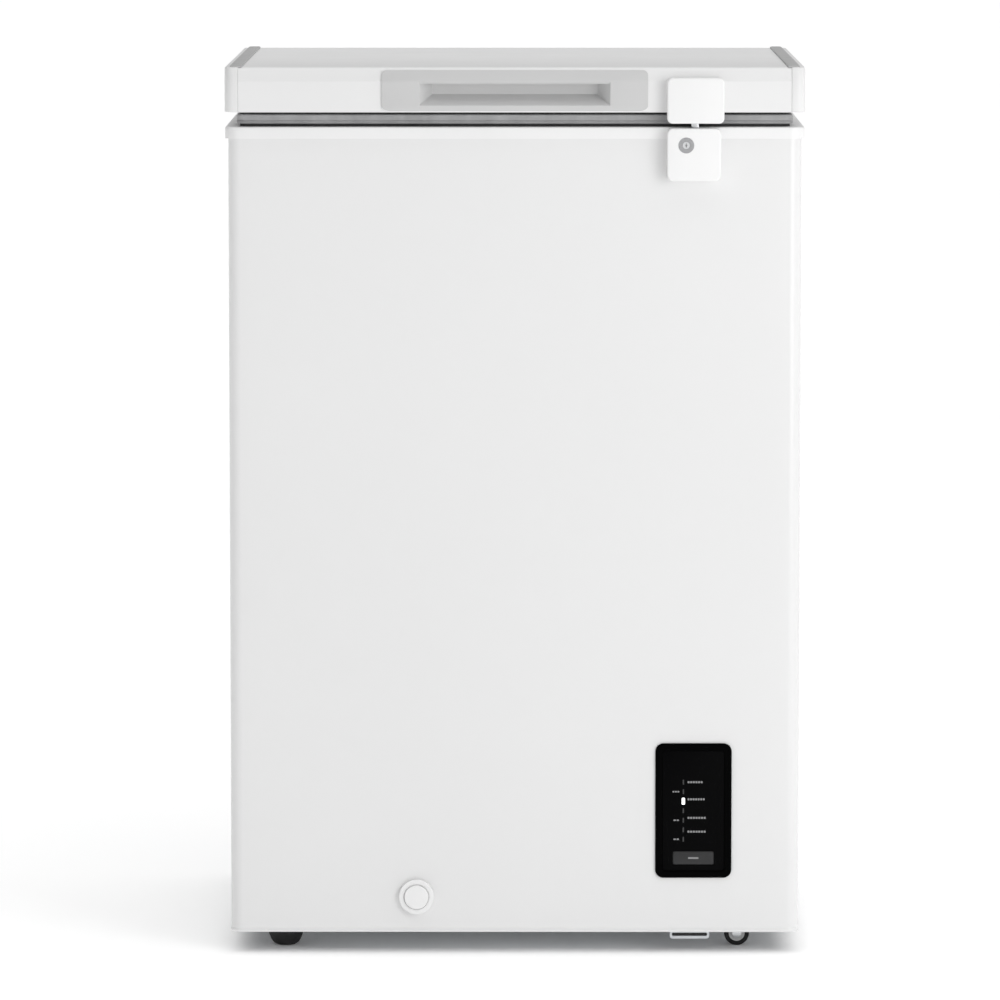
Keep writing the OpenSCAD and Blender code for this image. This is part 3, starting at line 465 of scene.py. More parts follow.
hub_moulding = moulding("hub_moulding", (0.62, 0.62, 0.62), 0.5)
grille_enamel = enamel("grille_enamel", (0.10, 0.10, 0.105), 0.45)
board_resin = moulding("board_resin", (0.02, 0.13, 0.05), 0.4, 400, 0.00005)
pipe_white = moulding("pipe_white", (0.74, 0.74, 0.72), 0.45)
wire_coat = enamel("wire_coat", (0.82, 0.83, 0.84), 0.3)
insulation = foamed("insulation", (0.80, 0.70, 0.42))

# ---------- places taken from the frame ----------

cabinet_low, cabinet_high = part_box("outer_cabinet")
collar_low, collar_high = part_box("top_collar")
skin_low, skin_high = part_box("lid_skin")
cap_low, cap_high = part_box("lid_cap_right")
strip_low, strip_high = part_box("trim_strip_right")
insert_low, insert_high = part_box("handle_insert")
keeper_low, keeper_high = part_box("lock_keeper")
case_low, case_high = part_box("lock_case")
barrel_low, barrel_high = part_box("lock_barrel")
bezel_low, bezel_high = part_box("panel_bezel")
window_low, window_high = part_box("panel_window")
button_low, button_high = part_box("mode_button")
seal_low, seal_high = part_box("lid_gasket")
LID_FRONT = skin_low.y
LID_TOP = skin_high.z
SLOPE_H = 13 * MM
SLOPE_D = 5 * MM
SKIN = 1.2 * MM
POCKET_HALF = 90.5 * MM
BARREL_X = (barrel_low.x + barrel_high.x) / 2
PLUG_X = 196.3 * MM
PLUG_Y = 157.3 * MM
HINGE_X = 170 * MM
HINGE_Z = collar_high.z + 7 * MM
STEP_X = 74.2 * MM
STEP_Z = 281 * MM
BAY_X = 121.2 * MM
BAY_Z = 234 * MM


def slope_front(piece):
    """Lean the top of a lid piece's front back, from a fold below it."""
    slice_at(piece, (0, 0, LID_TOP - SLOPE_H), (0, 0, 1))
    front = min(v.co.y for v in piece.data.vertices)
    top = max(v.co.z for v in piece.data.vertices)
    pick(piece, "VERT", lambda v: near(v.co.y, front) and near(v.co.z, top))
    bpy.ops.transform.translate(value=(0, SLOPE_D, 0))
    leave()
    return front, top


# ---------- cabinet ----------

def make_cabinet():
    """The painted wrap: front, sides and two rear flanges, with its bottom edge folded in."""
    piece = block("cabinet_wrap", cabinet_low, cabinet_high)
    round_edges(piece, lambda e: runs(e, "Z"), 12 * MM, 10)
    flange = cabinet_high.x - 30 * MM
    for side in (-1, 1):
        slice_at(piece, (side * flange, 0, 0), (1, 0, 0))
    bottom = cabinet_low.z
    remove_faces(piece, lambda f: faces_to(f, (0, 0, 1)) or (
        faces_to(f, (0, 1, 0)) and abs(middle(f).x) < flange))
    # the floor of the wrap is cut back to a narrow hem
    pick(piece, "FACE", lambda f: faces_to(f, (0, 0, -1)))
    bpy.ops.mesh.delete(type="FACE")
    leave()
    pick(piece, "EDGE", lambda e: all(near(v.co.z, bottom) for v in e.verts)
         and len(e.link_faces) == 1)
    bpy.ops.mesh.extrude_edges_move()
    leave()
    inward = 11 * MM
    centre_y = (cabinet_low.y + cabinet_high.y) / 2
    half_x, half_y = cabinet_high.x, (cabinet_high.y - cabinet_low.y) / 2
    pick(piece, "VERT", lambda v: near(v.co.z, bottom)
         and sum(1 for e in v.link_edges if abs(e.verts[0].co.z - e.verts[1].co.z) > MM) == 0)
    scale_picked((1 - inward / half_x, 1 - inward / half_y, 1), (0, centre_y, bottom))
    leave()
    round_edges(piece, lambda e: all(near(v.co.z, bottom) for v in e.verts)
                and len(e.link_faces) == 2 and any(abs(f.normal.z) < 0.1 for f in e.link_faces),
                1.8 * MM, 4)
    # the fold stands a little proud along the bottom
    for up in (2.4 * MM, 3.6 * MM, 5 * MM):
        slice_at(piece, (0, 0, bottom + up), (0, 0, 1))
    pick(piece, "VERT", lambda v: v.co.z < bottom + 3 * MM)
    scale_picked((1 + 0.6 * MM / half_x, 1 + 0.6 * MM / half_y, 1), (0, centre_y, bottom))
    leave()
    thicken(piece, 0.8 * MM)
    carve(piece, block("panel_hole",
                       (bezel_low.x + 2 * MM, cabinet_low.y - 5 * MM, bezel_low.z + 2 * MM),
                       (bezel_high.x - 2 * MM, cabinet_low.y + 5 * MM, bezel_high.z - 2 * MM)))
    drain_low, drain_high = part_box("drain_cap")
    middle_of_drain = (drain_low + drain_high) / 2
    carve(piece, rod("drain_hole", (middle_of_drain.x, cabinet_low.y, middle_of_drain.z),
                     9.7 * MM, 10 * MM, "Y"))
    smooth(piece)
    return place(piece, white_enamel, "cabinet", "cabinet_paint", "outer_cabinet")


def make_collar():
    """The moulded top frame: an outer skirt, a flat flange, and a ledge inside the liner."""
    ledge_z = collar_low.z
    piece = block("collar_frame", (collar_low.x, collar_low.y, collar_high.z - 11 * MM),
                  collar_high)
    round_edges(piece, lambda e: runs(e, "Z"), 15 * MM, 10)
    liner_low, liner_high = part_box("inner_liner")
    wall = 1.2 * MM
    inner = block("collar_lip", (liner_low.x + wall, liner_low.y + wall, ledge_z),
                  (liner_high.x - wall, liner_high.y - wall, collar_high.z - 1 * MM))
    round_edges(inner, lambda e: runs(e, "Z"), 16.8 * MM, 8)
    carve(piece, inner, "UNION")
    lip = 1.5 * MM
    opening = block("opening",
                    (liner_low.x + wall + lip, liner_low.y + wall + lip, ledge_z + 3 * MM),
                    (liner_high.x - wall - lip, liner_high.y - wall - lip,
                     collar_high.z + 5 * MM))
    round_edges(opening, lambda e: runs(e, "Z"), 15.3 * MM, 8)
    carve(piece, opening)
    ledge = lip + 6 * MM
    through = block("through",
                    (liner_low.x + wall + ledge, liner_low.y + wall + ledge, ledge_z - 5 * MM),
                    (liner_high.x - wall - ledge, liner_high.y - wall - ledge,
                     collar_high.z + 5 * MM))
    round_edges(through, lambda e: runs(e, "Z"), 9.3 * MM, 8)
    carve(piece, through)
    # the cabinet's edge stands up inside the skirt
    proud = 3 * MM
    channel = block("channel", (collar_low.x + proud, collar_low.y + proud, ledge_z - MM),
                    (collar_high.x - proud, collar_high.y - proud, collar_high.z - 4 * MM))
    round_edges(channel, lambda e: runs(e, "Z"), 12 * MM, 10)
    core = block("core", (liner_low.x + wall, liner_low.y + wall, ledge_z - 2 * MM),
                 (liner_high.x - wall, liner_high.y - wall, collar_high.z))
    round_edges(core, lambda e: runs(e, "Z"), 16.8 * MM, 8)
    carve(channel, core)
    carve(piece, channel)
    edge_radius = 1.6 * MM
    round_edges(piece, lambda e: all(near(v.co.z, collar_high.z) for v in e.verts)
                and (abs(middle(e).x) > collar_high.x - 16 * MM
                     or abs(middle(e).y) > collar_high.y - 16 * MM)
                and len(e.link_faces) == 2
                and abs(e.link_faces[0].normal.z - e.link_faces[1].normal.z) > 0.5,
                edge_radius, 4)
    smooth(piece)
    return place(piece, collar_moulding, "cabinet", "collar", "top_collar")


# ---------- lid ----------

def make_lid_skin():
    piece = block("lid_top_skin", skin_low, skin_high)
    front, top = slope_front(piece)
    for x in (-1, 1):
        slice_at(piece, (x * 92.1 * MM, 0, 0), (1, 0, 0))
    low, high = skin_low.z + 4.9 * MM, skin_low.z + 30.1 * MM
    for z in (low, high):
        slice_at(piece, (0, 0, z), (0, 0, 1))
    remove_faces(piece, lambda f: faces_to(f, (0, -1, 0)) and abs(middle(f).x) < 92 * MM
                 and low < middle(f).z < high)
    round_edges(piece, lambda e: runs(e, "X") and near(middle(e).y, front + SLOPE_D)
                and near(middle(e).z, top), 4 * MM, 5)
    round_edges(piece, lambda e: runs(e, "X") and near(middle(e).y, front)
                and near(middle(e).z, top - SLOPE_H), 3 * MM, 4)
    round_edges(piece, lambda e: runs(e, "X") and near(middle(e).y, skin_high.y)
                and near(middle(e).z, top), 4 * MM, 5)
    remove_faces(piece, lambda f: abs(f.normal.x) > 0.99 or faces_to(f, (0, 0, -1)))
    thicken(piece, SKIN)
    smooth(piece)
    return place(piece, lid_enamel, "lid", "cabinet_paint", "lid_skin")


def make_lid_cap():
    """A moulded end cap: hollow behind, with its outer corners well rounded."""
    piece = block("lid_end_right", cap_low, cap_high)
    top = slope_front(piece)[1]
    outer = cap_high.x
    # the outer upright corners
    round_edges(piece, lambda e: near(e.verts[0].co.x, outer) and near(e.verts[1].co.x, outer)
                and not runs(e, "Y") and not near(middle(e).z, cap_low.z)
                and not near(middle(e).z, top), 8 * MM, 8)
    ease(piece, 0.9 * MM, 3, 40)
    hollow = block("hollow", (cap_low.x - MM, cap_low.y + 6 * MM, cap_low.z + 3 * MM),
                   (cap_high.x - 4 * MM, cap_high.y - 6 * MM, cap_high.z - 6 * MM))
    carve(piece, hollow)
    smooth(piece)
    twin = mirrored(piece, "lid_end_left")
    place(piece, cap_moulding, "lid", "collar", "lid_cap_right")
    place(twin, cap_moulding, "lid", "collar", "lid_cap_left")


def make_strips():
    """Grey strips that cover the joints of the skin and the end caps."""
    piece = block("trim_right", (strip_low.x, strip_low.y + MM, strip_low.z - 0.4 * MM),
                  strip_high)
    round_edges(piece, lambda e: runs(e, "Z") and middle(e).y > 0, 5.5 * MM, 8)
    round_edges(piece, lambda e: runs(e, "Z") and middle(e).y < 0, 1.2 * MM, 3)
    ease(piece, 0.6 * MM, 3, 50)
    twin = mirrored(piece, "trim_left")
    place(piece, strip_grey, "lid", "grey_trim", "trim_strip_right")
    place(twin, strip_grey, "lid", "grey_trim", "trim_strip_left")


def make_handle():
    """The grey insert: a face over the lid's front and slope, with a finger pocket."""
    half, pocket = insert_high.x, POCKET_HALF
    front = insert_low.y
    top = insert_high.z
    pocket_low, pocket_high = skin_low.z + 6.5 * MM, skin_low.z + 28.5 * MM
    piece = block("handle_face", (-half, front, insert_low.z), (half, LID_FRONT, top))
    slope_z = LID_TOP - SLOPE_H + 0.6 * MM
    slice_at(piece, (0, 0, slope_z), (0, 0, 1))
    pick(piece, "VERT", lambda v: near(v.co.y, front) and near(v.co.z, top))
    bpy.ops.transform.translate(value=(0, SLOPE_D * (top - slope_z) / SLOPE_H, 0))
    leave()
    for side in (-1, 1):
        slice_at(piece, (side * pocket, 0, 0), (1, 0, 0))
    for z in (pocket_low, pocket_high):
        slice_at(piece, (0, 0, z), (0, 0, 1))
    remove_faces(piece, lambda f: faces_to(f, (0, 1, 0)) or abs(f.normal.z) > 0.99
                 or abs(f.normal.x) > 0.99)
    round_edges(piece, lambda e: runs(e, "X") and near(middle(e).z, slope_z)
                and near(middle(e).y, front), 3 * MM, 4)
    # corners rounded on the thin sheet
    for corner_z, radius in ((insert_low.z, 8 * MM), (top, 5 * MM)):
        pick(piece, "VERT", lambda v: near(abs(v.co.x), half) and near(v.co.z, corner_z))
        bpy.ops.mesh.bevel(offset=radius, offset_type="OFFSET", segments=8, affect="VERTICES")
        leave()
    depth = 18 * MM + (LID_FRONT - front)
    pick(piece, "FACE", lambda f: faces_to(f, (0, -1, 0)) and abs(middle(f).x) < pocket
         and pocket_low < middle(f).z < pocket_high)
    draw_out((0, depth, 0))
    scale_picked(((pocket - 12 * MM) / pocket, 1, 12 / 22), (0, front + depth, pocket_high))
    leave()
    thicken(piece, 1.45 * MM)
    ease(piece, 0.5 * MM, 3, 34)
    return place(piece, handle_grey, "lid", "handle_grey", "handle_insert")


def seal_ring(name, inset, low_z, high_z, width):
    """One tier of the seal: a closed frame, set in from the seal's outside."""
    ring = block(name, (seal_low.x + inset, seal_low.y + inset, low_z),
                 (seal_high.x - inset, seal_high.y - inset, high_z))
    round_edges(ring, lambda e: runs(e, "Z"), 9 * MM - inset, 6)
    hole = block("hole", (seal_low.x + inset + width, seal_low.y + inset + width, low_z - MM),
                 (seal_high.x - inset - width, seal_high.y - inset - width, high_z + MM))
    round_edges(hole, lambda e: runs(e, "Z"), 3 * MM, 4)
    carve(ring, hole)
    return ring


def make_gasket():
    """A vinyl seal: a magnet bulb between two thinner necks, the necks painted near-black as the
    shade in the gaps under the lid and over the collar.
    """
    neck, step = 2.6 * MM, 3 * MM
    low, high = seal_low.z, seal_high.z
    foot = seal_ring("foot", step, low, low + neck + 0.3 * MM, 9 * MM)
    head = seal_ring("head", step, high - neck - 0.3 * MM, high, 9 * MM)
    bulb = seal_ring("bulb", 0, low + neck, high - neck, 15 * MM)
    ease(bulb, 1.5 * MM, 4, 50)
    groove = (low + high) / 2 - 1.6 * MM
    for z in (groove - 0.5 * MM, groove, groove + 0.5 * MM):
        slice_at(bulb, (0, 0, z), (0, 0, 1))
    pick(bulb, "VERT", lambda v: near(v.co.z, groove))
    scale_picked((1 - 0.6 * MM / seal_high.x, 1 - 0.6 * MM / seal_high.y, 1), (0, 0, groove))
    leave()
    seal = join("door_seal", [bulb, foot, head])
    smooth(seal)
    place(seal, gasket_vinyl, "lid", "gasket", "lid_gasket")
    # the necks get the painted shade of the gaps above and below the bulb
    seal.data.materials.append(gasket_painted_shade)
    for face in seal.data.polygons:
        if not low + neck - 0.2 * MM < face.center.z < high - neck + 0.2 * MM:
            face.material_index = 1


def pan(name, half_x, half_y, low_z, high_z, corner, edge):
    """A shallow block with round corners and a round lower edge."""
    piece = block(name, (-half_x, -half_y, low_z), (half_x, half_y, high_z))
    round_edges(piece, lambda e: runs(e, "Z"), corner, 8)
    round_edges(piece, lambda e: all(near(v.co.z, low_z) for v in e.verts), edge, 5)
    return piece


def make_lid_underside():
    """The lid's moulded lining: a flat flange and a plug with a pressed field."""
    low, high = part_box("lid_inner_panel")
    flange_z = skin_low.z
    piece = block("lid_lining", (low.x, low.y, flange_z), (high.x, high.y, high.z))
    half_x, half_y = PLUG_X, PLUG_Y
    carve(piece, pan("plug", half_x, half_y, low.z, flange_z + 0.5 * MM, 14 * MM, 5 * MM),
          "UNION")
    inset, depth = 36 * MM, 1.1 * MM
    hollow = pan("hollow", half_x - inset, half_y - inset, low.z - MM, low.z + depth,
                 18 * MM, 0.3 * MM)
    pick(hollow, "VERT", lambda v: near(v.co.z, low.z + depth))
    scale_picked((0.975, 0.97, 1), (0, 0, low.z))
    leave()
    carve(piece, hollow)
    carve(piece, pan("field", half_x - inset - 32 * MM, half_y - inset - 30 * MM,
                     low.z + 0.1 * MM, low.z + depth + MM, 12 * MM, 0.9 * MM), "UNION")
    smooth(piece)
    return place(piece, lid_liner, "lid", "liner", "lid_inner_panel")


# ---------- lock ----------

def make_keeper():
    piece = block("lock_keeper_cover", (keeper_low.x, keeper_low.y, keeper_low.z),
                  (keeper_high.x, LID_FRONT, keeper_high.z))
    round_edges(piece, lambda e: runs(e, "Y"), 5 * MM, 8)
    round_edges(piece, lambda e: all(near(v.co.y, keeper_low.y) for v in e.verts), 1.6 * MM, 4)
    wall = 2.5 * MM
    carve(piece, block("keeper_hollow", (keeper_low.x + wall, keeper_low.y + wall,
                                         keeper_low.z + wall),
                       (keeper_high.x - wall, LID_FRONT + MM, keeper_high.z - wall)))
    tongue_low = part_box("lock_tongue")[0]
    carve(piece, block("keeper_slot",
                       (BARREL_X + 4 * MM, tongue_low.y - MM, keeper_low.z - MM),
                       (BARREL_X + 13 * MM, LID_FRONT + MM, keeper_low.z + 6 * MM)))
    smooth(piece)
    return place(piece, white_moulding, "lid", "collar", "lock_keeper")


def make_case():
    front = case_low.y
    piece = block("lock_case_cover", case_low, case_high)
    round_edges(piece, lambda e: runs(e, "Y"), 6 * MM, 8)
    round_edges(piece, lambda e: all(near(v.co.y, front) for v in e.verts), 1.6 * MM, 4)
    wall = 2.5 * MM
    carve(piece, block("case_hollow", (case_low.x + wall, front + wall, case_low.z + wall),
                       (case_high.x - wall, case_high.y + MM, case_high.z - wall)))
    collar_skirt = collar_high.z - 11 * MM
    carve(piece, block("case_notch", (case_low.x - MM, LID_FRONT, collar_skirt),
                       (case_high.x + MM, case_high.y + MM, case_high.z + MM)))
    carve(piece, block("case_slot",
                       (BARREL_X + 3 * MM, LID_FRONT - 9.2 * MM, case_high.z - 6 * MM),
                       (BARREL_X + 14 * MM, LID_FRONT - MM, case_high.z + MM)))
    radius = (barrel_high.x - barrel_low.x) / 2
    axis_z = barrel_low.z + radius
    carve(piece, rod("barrel_hole", (BARREL_X, front, axis_z), radius + 0.05 * MM, 20 * MM,
                     "Y", 96))
    sleeve = rod("sleeve", (BARREL_X, front + 3.4 * MM, axis_z), radius + 1.8 * MM, 4.6 * MM,
                 "Y", 96)
    carve(sleeve, rod("sleeve_bore", (BARREL_X, front, axis_z), radius + 0.05 * MM, 30 * MM,
                      "Y", 96))
    carve(piece, sleeve, "UNION")
    smooth(piece)
    return place(piece, white_moulding, "cabinet", "collar", "lock_case")


def make_barrel():
    """The key barrel: a grey ring round a brighter core with its keyhole, and the cam behind."""
    front = barrel_low.y
    radius = (barrel_high.x - barrel_low.x) / 2
    centre_z = barrel_low.z + radius
    piece = rod("key_barrel", (BARREL_X, front + 3.6 * MM, centre_z), radius, 7.2 * MM, "Y", 96)
    pick(piece, "FACE", lambda f: faces_to(f, (0, -1, 0)))
    bpy.ops.mesh.inset(thickness=3.4 * MM)
    draw_out((0, 1.2 * MM, 0))
    bpy.ops.mesh.inset(thickness=0.7 * MM)
    draw_out((0, -1.2 * MM, 0))
    leave()
    core = 3.45 * MM
    carve(piece, rod("keyhole", (BARREL_X, front, centre_z), 0.95 * MM, 10 * MM, "Y", 32))
    carve(piece, block("keyway", (BARREL_X - 0.4 * MM, front - MM, centre_z - 1.9 * MM),
                       (BARREL_X + 0.4 * MM, front + 5 * MM, centre_z + 1.9 * MM)))
    cam = block("cam", (BARREL_X - 2.5 * MM, LID_FRONT - 6 * MM, centre_z - 2.5 * MM),
                (BARREL_X + 2.5 * MM, LID_FRONT - 3.5 * MM, centre_z + 8.3 * MM))
    round_edges(cam, lambda e: runs(e, "Y"), 1.6 * MM, 4)
    carve(piece, cam, "UNION")
    smooth(piece)
    place(piece, lock_steel, "lock_barrel", "lock_metal", "lock_barrel")
    piece.data.materials.append(zinc_plate)
    for face in piece.data.polygons:
        if near(face.center.y, front, 0.02 * MM) and math.hypot(
                face.center.x - BARREL_X, face.center.z - centre_z) < core:
            face.material_index = 1


# ---------- control panel ----------

def make_panel():
    front = bezel_low.y
    centre = (bezel_low + bezel_high) / 2
    piece = block("panel_frame", (bezel_low.x, front, bezel_low.z),
                  (bezel_high.x, cabinet_low.y + 0.1 * MM, bezel_high.z))
    round_edges(piece, lambda e: runs(e, "Y"), 8 * MM, 10)
    round_edges(piece, lambda e: all(near(v.co.y, front) for v in e.verts), 1.3 * MM, 4)
    mouth = block("mouth", (window_low.x - 0.1 * MM, front - MM, window_low.z - 0.1 * MM),
                  (window_high.x + 0.1 * MM, cabinet_low.y + MM, window_high.z + 0.1 * MM))
    round_edges(mouth, lambda e: runs(e, "Y"), 3.1 * MM, 6)
    carve(piece, mouth)
    neck = block("neck", (bezel_low.x + 3 * MM, cabinet_low.y - 0.2 * MM, bezel_low.z + 3 * MM),
                 (bezel_high.x - 3 * MM, bezel_high.y, bezel_high.z - 3 * MM))
    carve(neck, block("neck_hole", (bezel_low.x + 5 * MM, front - MM, bezel_low.z + 5 * MM),
                      (bezel_high.x - 5 * MM, bezel_high.y + MM, bezel_high.z - 5 * MM)))
    carve(piece, neck, "UNION")
    ease(piece, 0.3 * MM, 2, 50)
    place(piece, panel_gloss, "cabinet", "panel_black", "panel_bezel")

    window = block("panel_glass", window_low, window_high)
    round_edges(window, lambda e: runs(e, "Y"), 3 * MM, 6)
    round_edges(window, lambda e: all(near(v.co.y, window_low.y) for v in e.verts), 0.3 * MM, 2)
    gap = 0.3 * MM
    key_x, key_z = 19.5 * MM, 6.3 * MM
    press_z = (button_low.z + button_high.z) / 2
    carve(window, block("button_hole",
                        (centre.x - key_x - gap, window_low.y - MM, press_z - key_z - gap),
                        (centre.x + key_x + gap, window_high.y + MM, press_z + key_z + gap)))
    smooth(window)
    place(window, window_gloss, "cabinet", "window_black", "panel_window")

    lamp_low, lamp_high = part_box("panel_lamps")
    lamp_x = (lamp_low.x + lamp_high.x) / 2
    pitch = 9.2 * MM
    lamps = []
    for row in range(-3, 4):
        lit = row == 1
        half_w, half_h = (1.5 * MM, 3.3 * MM) if lit else (0.7 * MM, 2.4 * MM)
        z = centre.z + row * pitch
        lamp = block("lamp", (lamp_x - half_w, window_low.y - 0.12 * MM, z - half_h),
                     (lamp_x + half_w, window_low.y + 2 * MM, z + half_h))
        round_edges(lamp, lambda e: runs(e, "Y"), half_w * 0.7, 4)
        lamp.name = "lamp_lit" if lit else f"lamp_{row + 4}"
        smooth(lamp)
        if lit:
            place(lamp, lamp_on, "cabinet", "lamps", "panel_lamps")
        else:
            lamps.append(lamp)
    place(join("lamps_dark", lamps), lamp_off, "cabinet", "lamps")

    # generic printed bars in place of words
    bars = []
    right = [(3, 15), (1.2, 17), (-0.75, 18), (-2.2, 18)]
    left = [(2, 7), (-1, 6), (-3, 6)]
    for row, width in right:
        bars.append((lamp_x + 4 * MM, width, centre.z + row * pitch, 1.0))
    for row, width in left:
        bars.append((lamp_x - (3.4 + width) * MM, width, centre.z + row * pitch, 0.7))
    prints = []
    for x0, width, z, half in bars:
        count = round(width / 2.6)
        step = width * MM / count
        for i in range(count):
            bar = block("bar", (x0 + i * step, window_low.y - 0.06 * MM, z - half * MM),
                        (x0 + (i + 0.76) * step, window_low.y + 0.3 * MM, z + half * MM))
            round_edges(bar, lambda e: runs(e, "Y"), half * 0.6 * MM, 3)
            prints.append(bar)
    mark = block("bar", (centre.x - 5 * MM, button_low.y - 0.05 * MM, press_z - 0.8 * MM),
                 (centre.x + 5 * MM, button_low.y + 0.2 * MM, press_z + 0.8 * MM))
    round_edges(mark, lambda e: runs(e, "Y"), 0.6 * MM, 3)
    place(join("panel_marks", prints), print_grey, "cabinet", "window_black")
    place(mark, print_grey, "mode_button", "button_grey")
    mark.name = "button_mark"

    button = block("mode_key", (centre.x - key_x, button_low.y, press_z - key_z),
                   (centre.x + key_x, window_high.y + 0.4 * MM, press_z + key_z))
    round_edges(button, lambda e: runs(e, "Y"), 2 * MM, 5)
    round_edges(button, lambda e: all(near(v.co.y, button_low.y) for v in e.verts), 0.5 * MM, 3)
    stem = rod("stem", (centre.x, (window_high.y + button_high.y) / 2, press_z), 2 * MM,
               button_high.y - window_high.y, "Y", 24)
    foot = block("foot", (button_low.x, window_high.y + 0.35 * MM, button_low.z),
                 (button_high.x, window_high.y + 1.4 * MM, button_high.z))
    carve(button, foot, "UNION")
    carve(button, stem, "UNION")
    smooth(button)
    place(button, button_matte, "mode_button", "button_grey", "mode_button")


# ---------- drain ----------

def make_drain_cap():
    low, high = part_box("drain_cap")
    centre = (low + high) / 2
    radius = (high.x - low.x) / 2
    face = low.y + 2.5 * MM
    back = cabinet_low.y - 0.3 * MM
    piece = rod("drain_cap_cover", (centre.x, (face + back) / 2, centre.z), radius,
                back - face, "Y", 96)
    pick(piece, "FACE", lambda f: faces_to(f, (0, -1, 0)))
    bpy.ops.mesh.inset(thickness=radius * 0.27)
    draw_out((0, 1.2 * MM, 0))
    bpy.ops.mesh.inset(thickness=radius * 0.05)
    draw_out((0, low.y - face - 1.2 * MM, 0))
    leave()
    ease(piece, 0.7 * MM, 4, 40)
    stem = rod("stem", (centre.x, (back + high.y) / 2 - MM, centre.z), 7.56 * MM,
               high.y - back + 2 * MM, "Y", 48)
    carve(stem, rod("stem_bore", (centre.x, high.y, centre.z), 5.1 * MM, 30 * MM, "Y", 48))
    carve(piece, stem, "UNION")
    smooth(piece)
    return place(piece, white_moulding, "drain_cap", "collar", "drain_cap")


def make_drain_plug():
    low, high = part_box("drain_plug")
    centre = (low + high) / 2
    piece = rod("sump_plug", (centre.x, centre.y, low.z + 11.1 * MM), 13.3 * MM, 4 * MM, "Z", 64)
    round_edges(piece, lambda e: all(near(v.co.z, low.z + 13.1 * MM) for v in e.verts),
                1.5 * MM, 4)
    carve(piece, rod("stem", (centre.x, centre.y, low.z + 5 * MM), 8.26 * MM, 10 * MM, "Z", 48),
          "UNION")
    grip = block("grip", (centre.x - 1.5 * MM, centre.y - 6 * MM, low.z + 12 * MM),
                 (centre.x + 1.5 * MM, centre.y + 6 * MM, high.z))
    round_edges(grip, lambda e: runs(e, "X") and middle(e).z > low.z + 14 * MM, 3 * MM, 5)
    carve(piece, grip, "UNION")
    ease(piece, 0.3 * MM, 2, 50)
    return place(piece, pipe_white, "drain_plug", "drain_white", "drain_plug")


# ---------- feet and wheels ----------

def make_foot(node, body):
    """A rubber glide: a bowl with a flat sole, and the stud that screws into the cabinet."""
    low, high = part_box(node)
    centre = (low + high) / 2
    radius = (high.x - low.x) / 2
    flange = cabinet_low.z + 0.4 * MM
    piece = rod(f"{node}_glide", (centre.x, centre.y, (low.z + flange) / 2), radius,
                flange - low.z, "Z", 64)
    pick(piece, "FACE", lambda f: faces_to(f, (0, 0, -1)))
    scale_picked((0.53, 0.53, 1), (centre.x, centre.y, low.z))
    leave()
    # the side swells like a bowl
    for up, swell in ((11, 1.24), (6, 1.12), (2.5, 1.1)):
        slice_at(piece, (0, 0, low.z + up * MM), (0, 0, 1))
        pick(piece, "VERT", lambda v: near(v.co.z, low.z + up * MM))
        scale_picked((swell, swell, 1), (centre.x, centre.y, low.z + up * MM))
        leave()
    ease(piece, 1.1 * MM, 4, 12)
    stud = rod("stud", (centre.x, centre.y, (flange + high.z) / 2), 3.9 * MM,
               high.z - flange + MM, "Z", 32)
    carve(piece, stud, "UNION")
    smooth(piece)
    return place(piece, black_rubber, body, "rubber_black", node)


def make_wheel(end, body):
    """A small roller: a black tyre pressed on a light hub."""
    low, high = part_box(f"wheel_{end}_tyre")
    centre = (low + high) / 2
    radius, wide = (high.x - low.x) / 2, high.y - low.y
    hub_low, hub_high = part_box(f"wheel_{end}_hub")
    hub = radius * 0.64
    tyre = rod(f"tyre_{end}", centre, radius, wide, "Y", 96)
    carve(tyre, rod("seat", centre, hub - 0.02 * MM, wide * 2, "Y", 96))
    ease(tyre, 1.3 * MM, 5, 50)
    place(tyre, tyre_rubber, body, "tyre_black", f"wheel_{end}_tyre")
    core = rod(f"hub_{end}", (centre.x, (hub_low.y + hub_high.y) / 2, centre.z), hub,
               hub_high.y - hub_low.y, "Y", 96)
    for side in (-1, 1):
        pick(core, "FACE", lambda f: faces_to(f, (0, side, 0)))
        bpy.ops.mesh.inset(thickness=1.1 * MM)
        draw_out((0, side * -1.2 * MM, 0))
        bpy.ops.mesh.inset(thickness=1.9 * MM)
        draw_out((0, side * 0.9 * MM, 0))
        leave()
    carve(core, rod("axle_hole", centre, 2.55 * MM, wide * 2, "Y", 48))
    ease(core, 0.25 * MM, 2, 50)
    place(core, hub_moulding, body, "hub_grey", f"wheel_{end}_hub")


def make_skid_shadow_pad():
    """A black strip set into the slot of the skid: painted shade standing in for the shadow inside
    the slot.
    """
    centre_x = (keeper_low.x + keeper_high.x) / 2 - 3 * MM
    front, centre_z = cabinet_low.y + 14.3 * MM, cabinet_low.z - 4.4 * MM
    piece = block("skid_shadow_pad", (centre_x - 16.9 * MM, front, centre_z - 1.45 * MM),
                  (centre_x + 16.9 * MM, front + MM, centre_z + 1.45 * MM))
    round_edges(piece, lambda e: runs(e, "Y"), 1.3 * MM, 4)
    smooth(piece)
    # the black here is painted shade for the inside of the slot
    return place(piece, black_rubber, "cabinet", "rubber_black")


# ---------- inside ----------

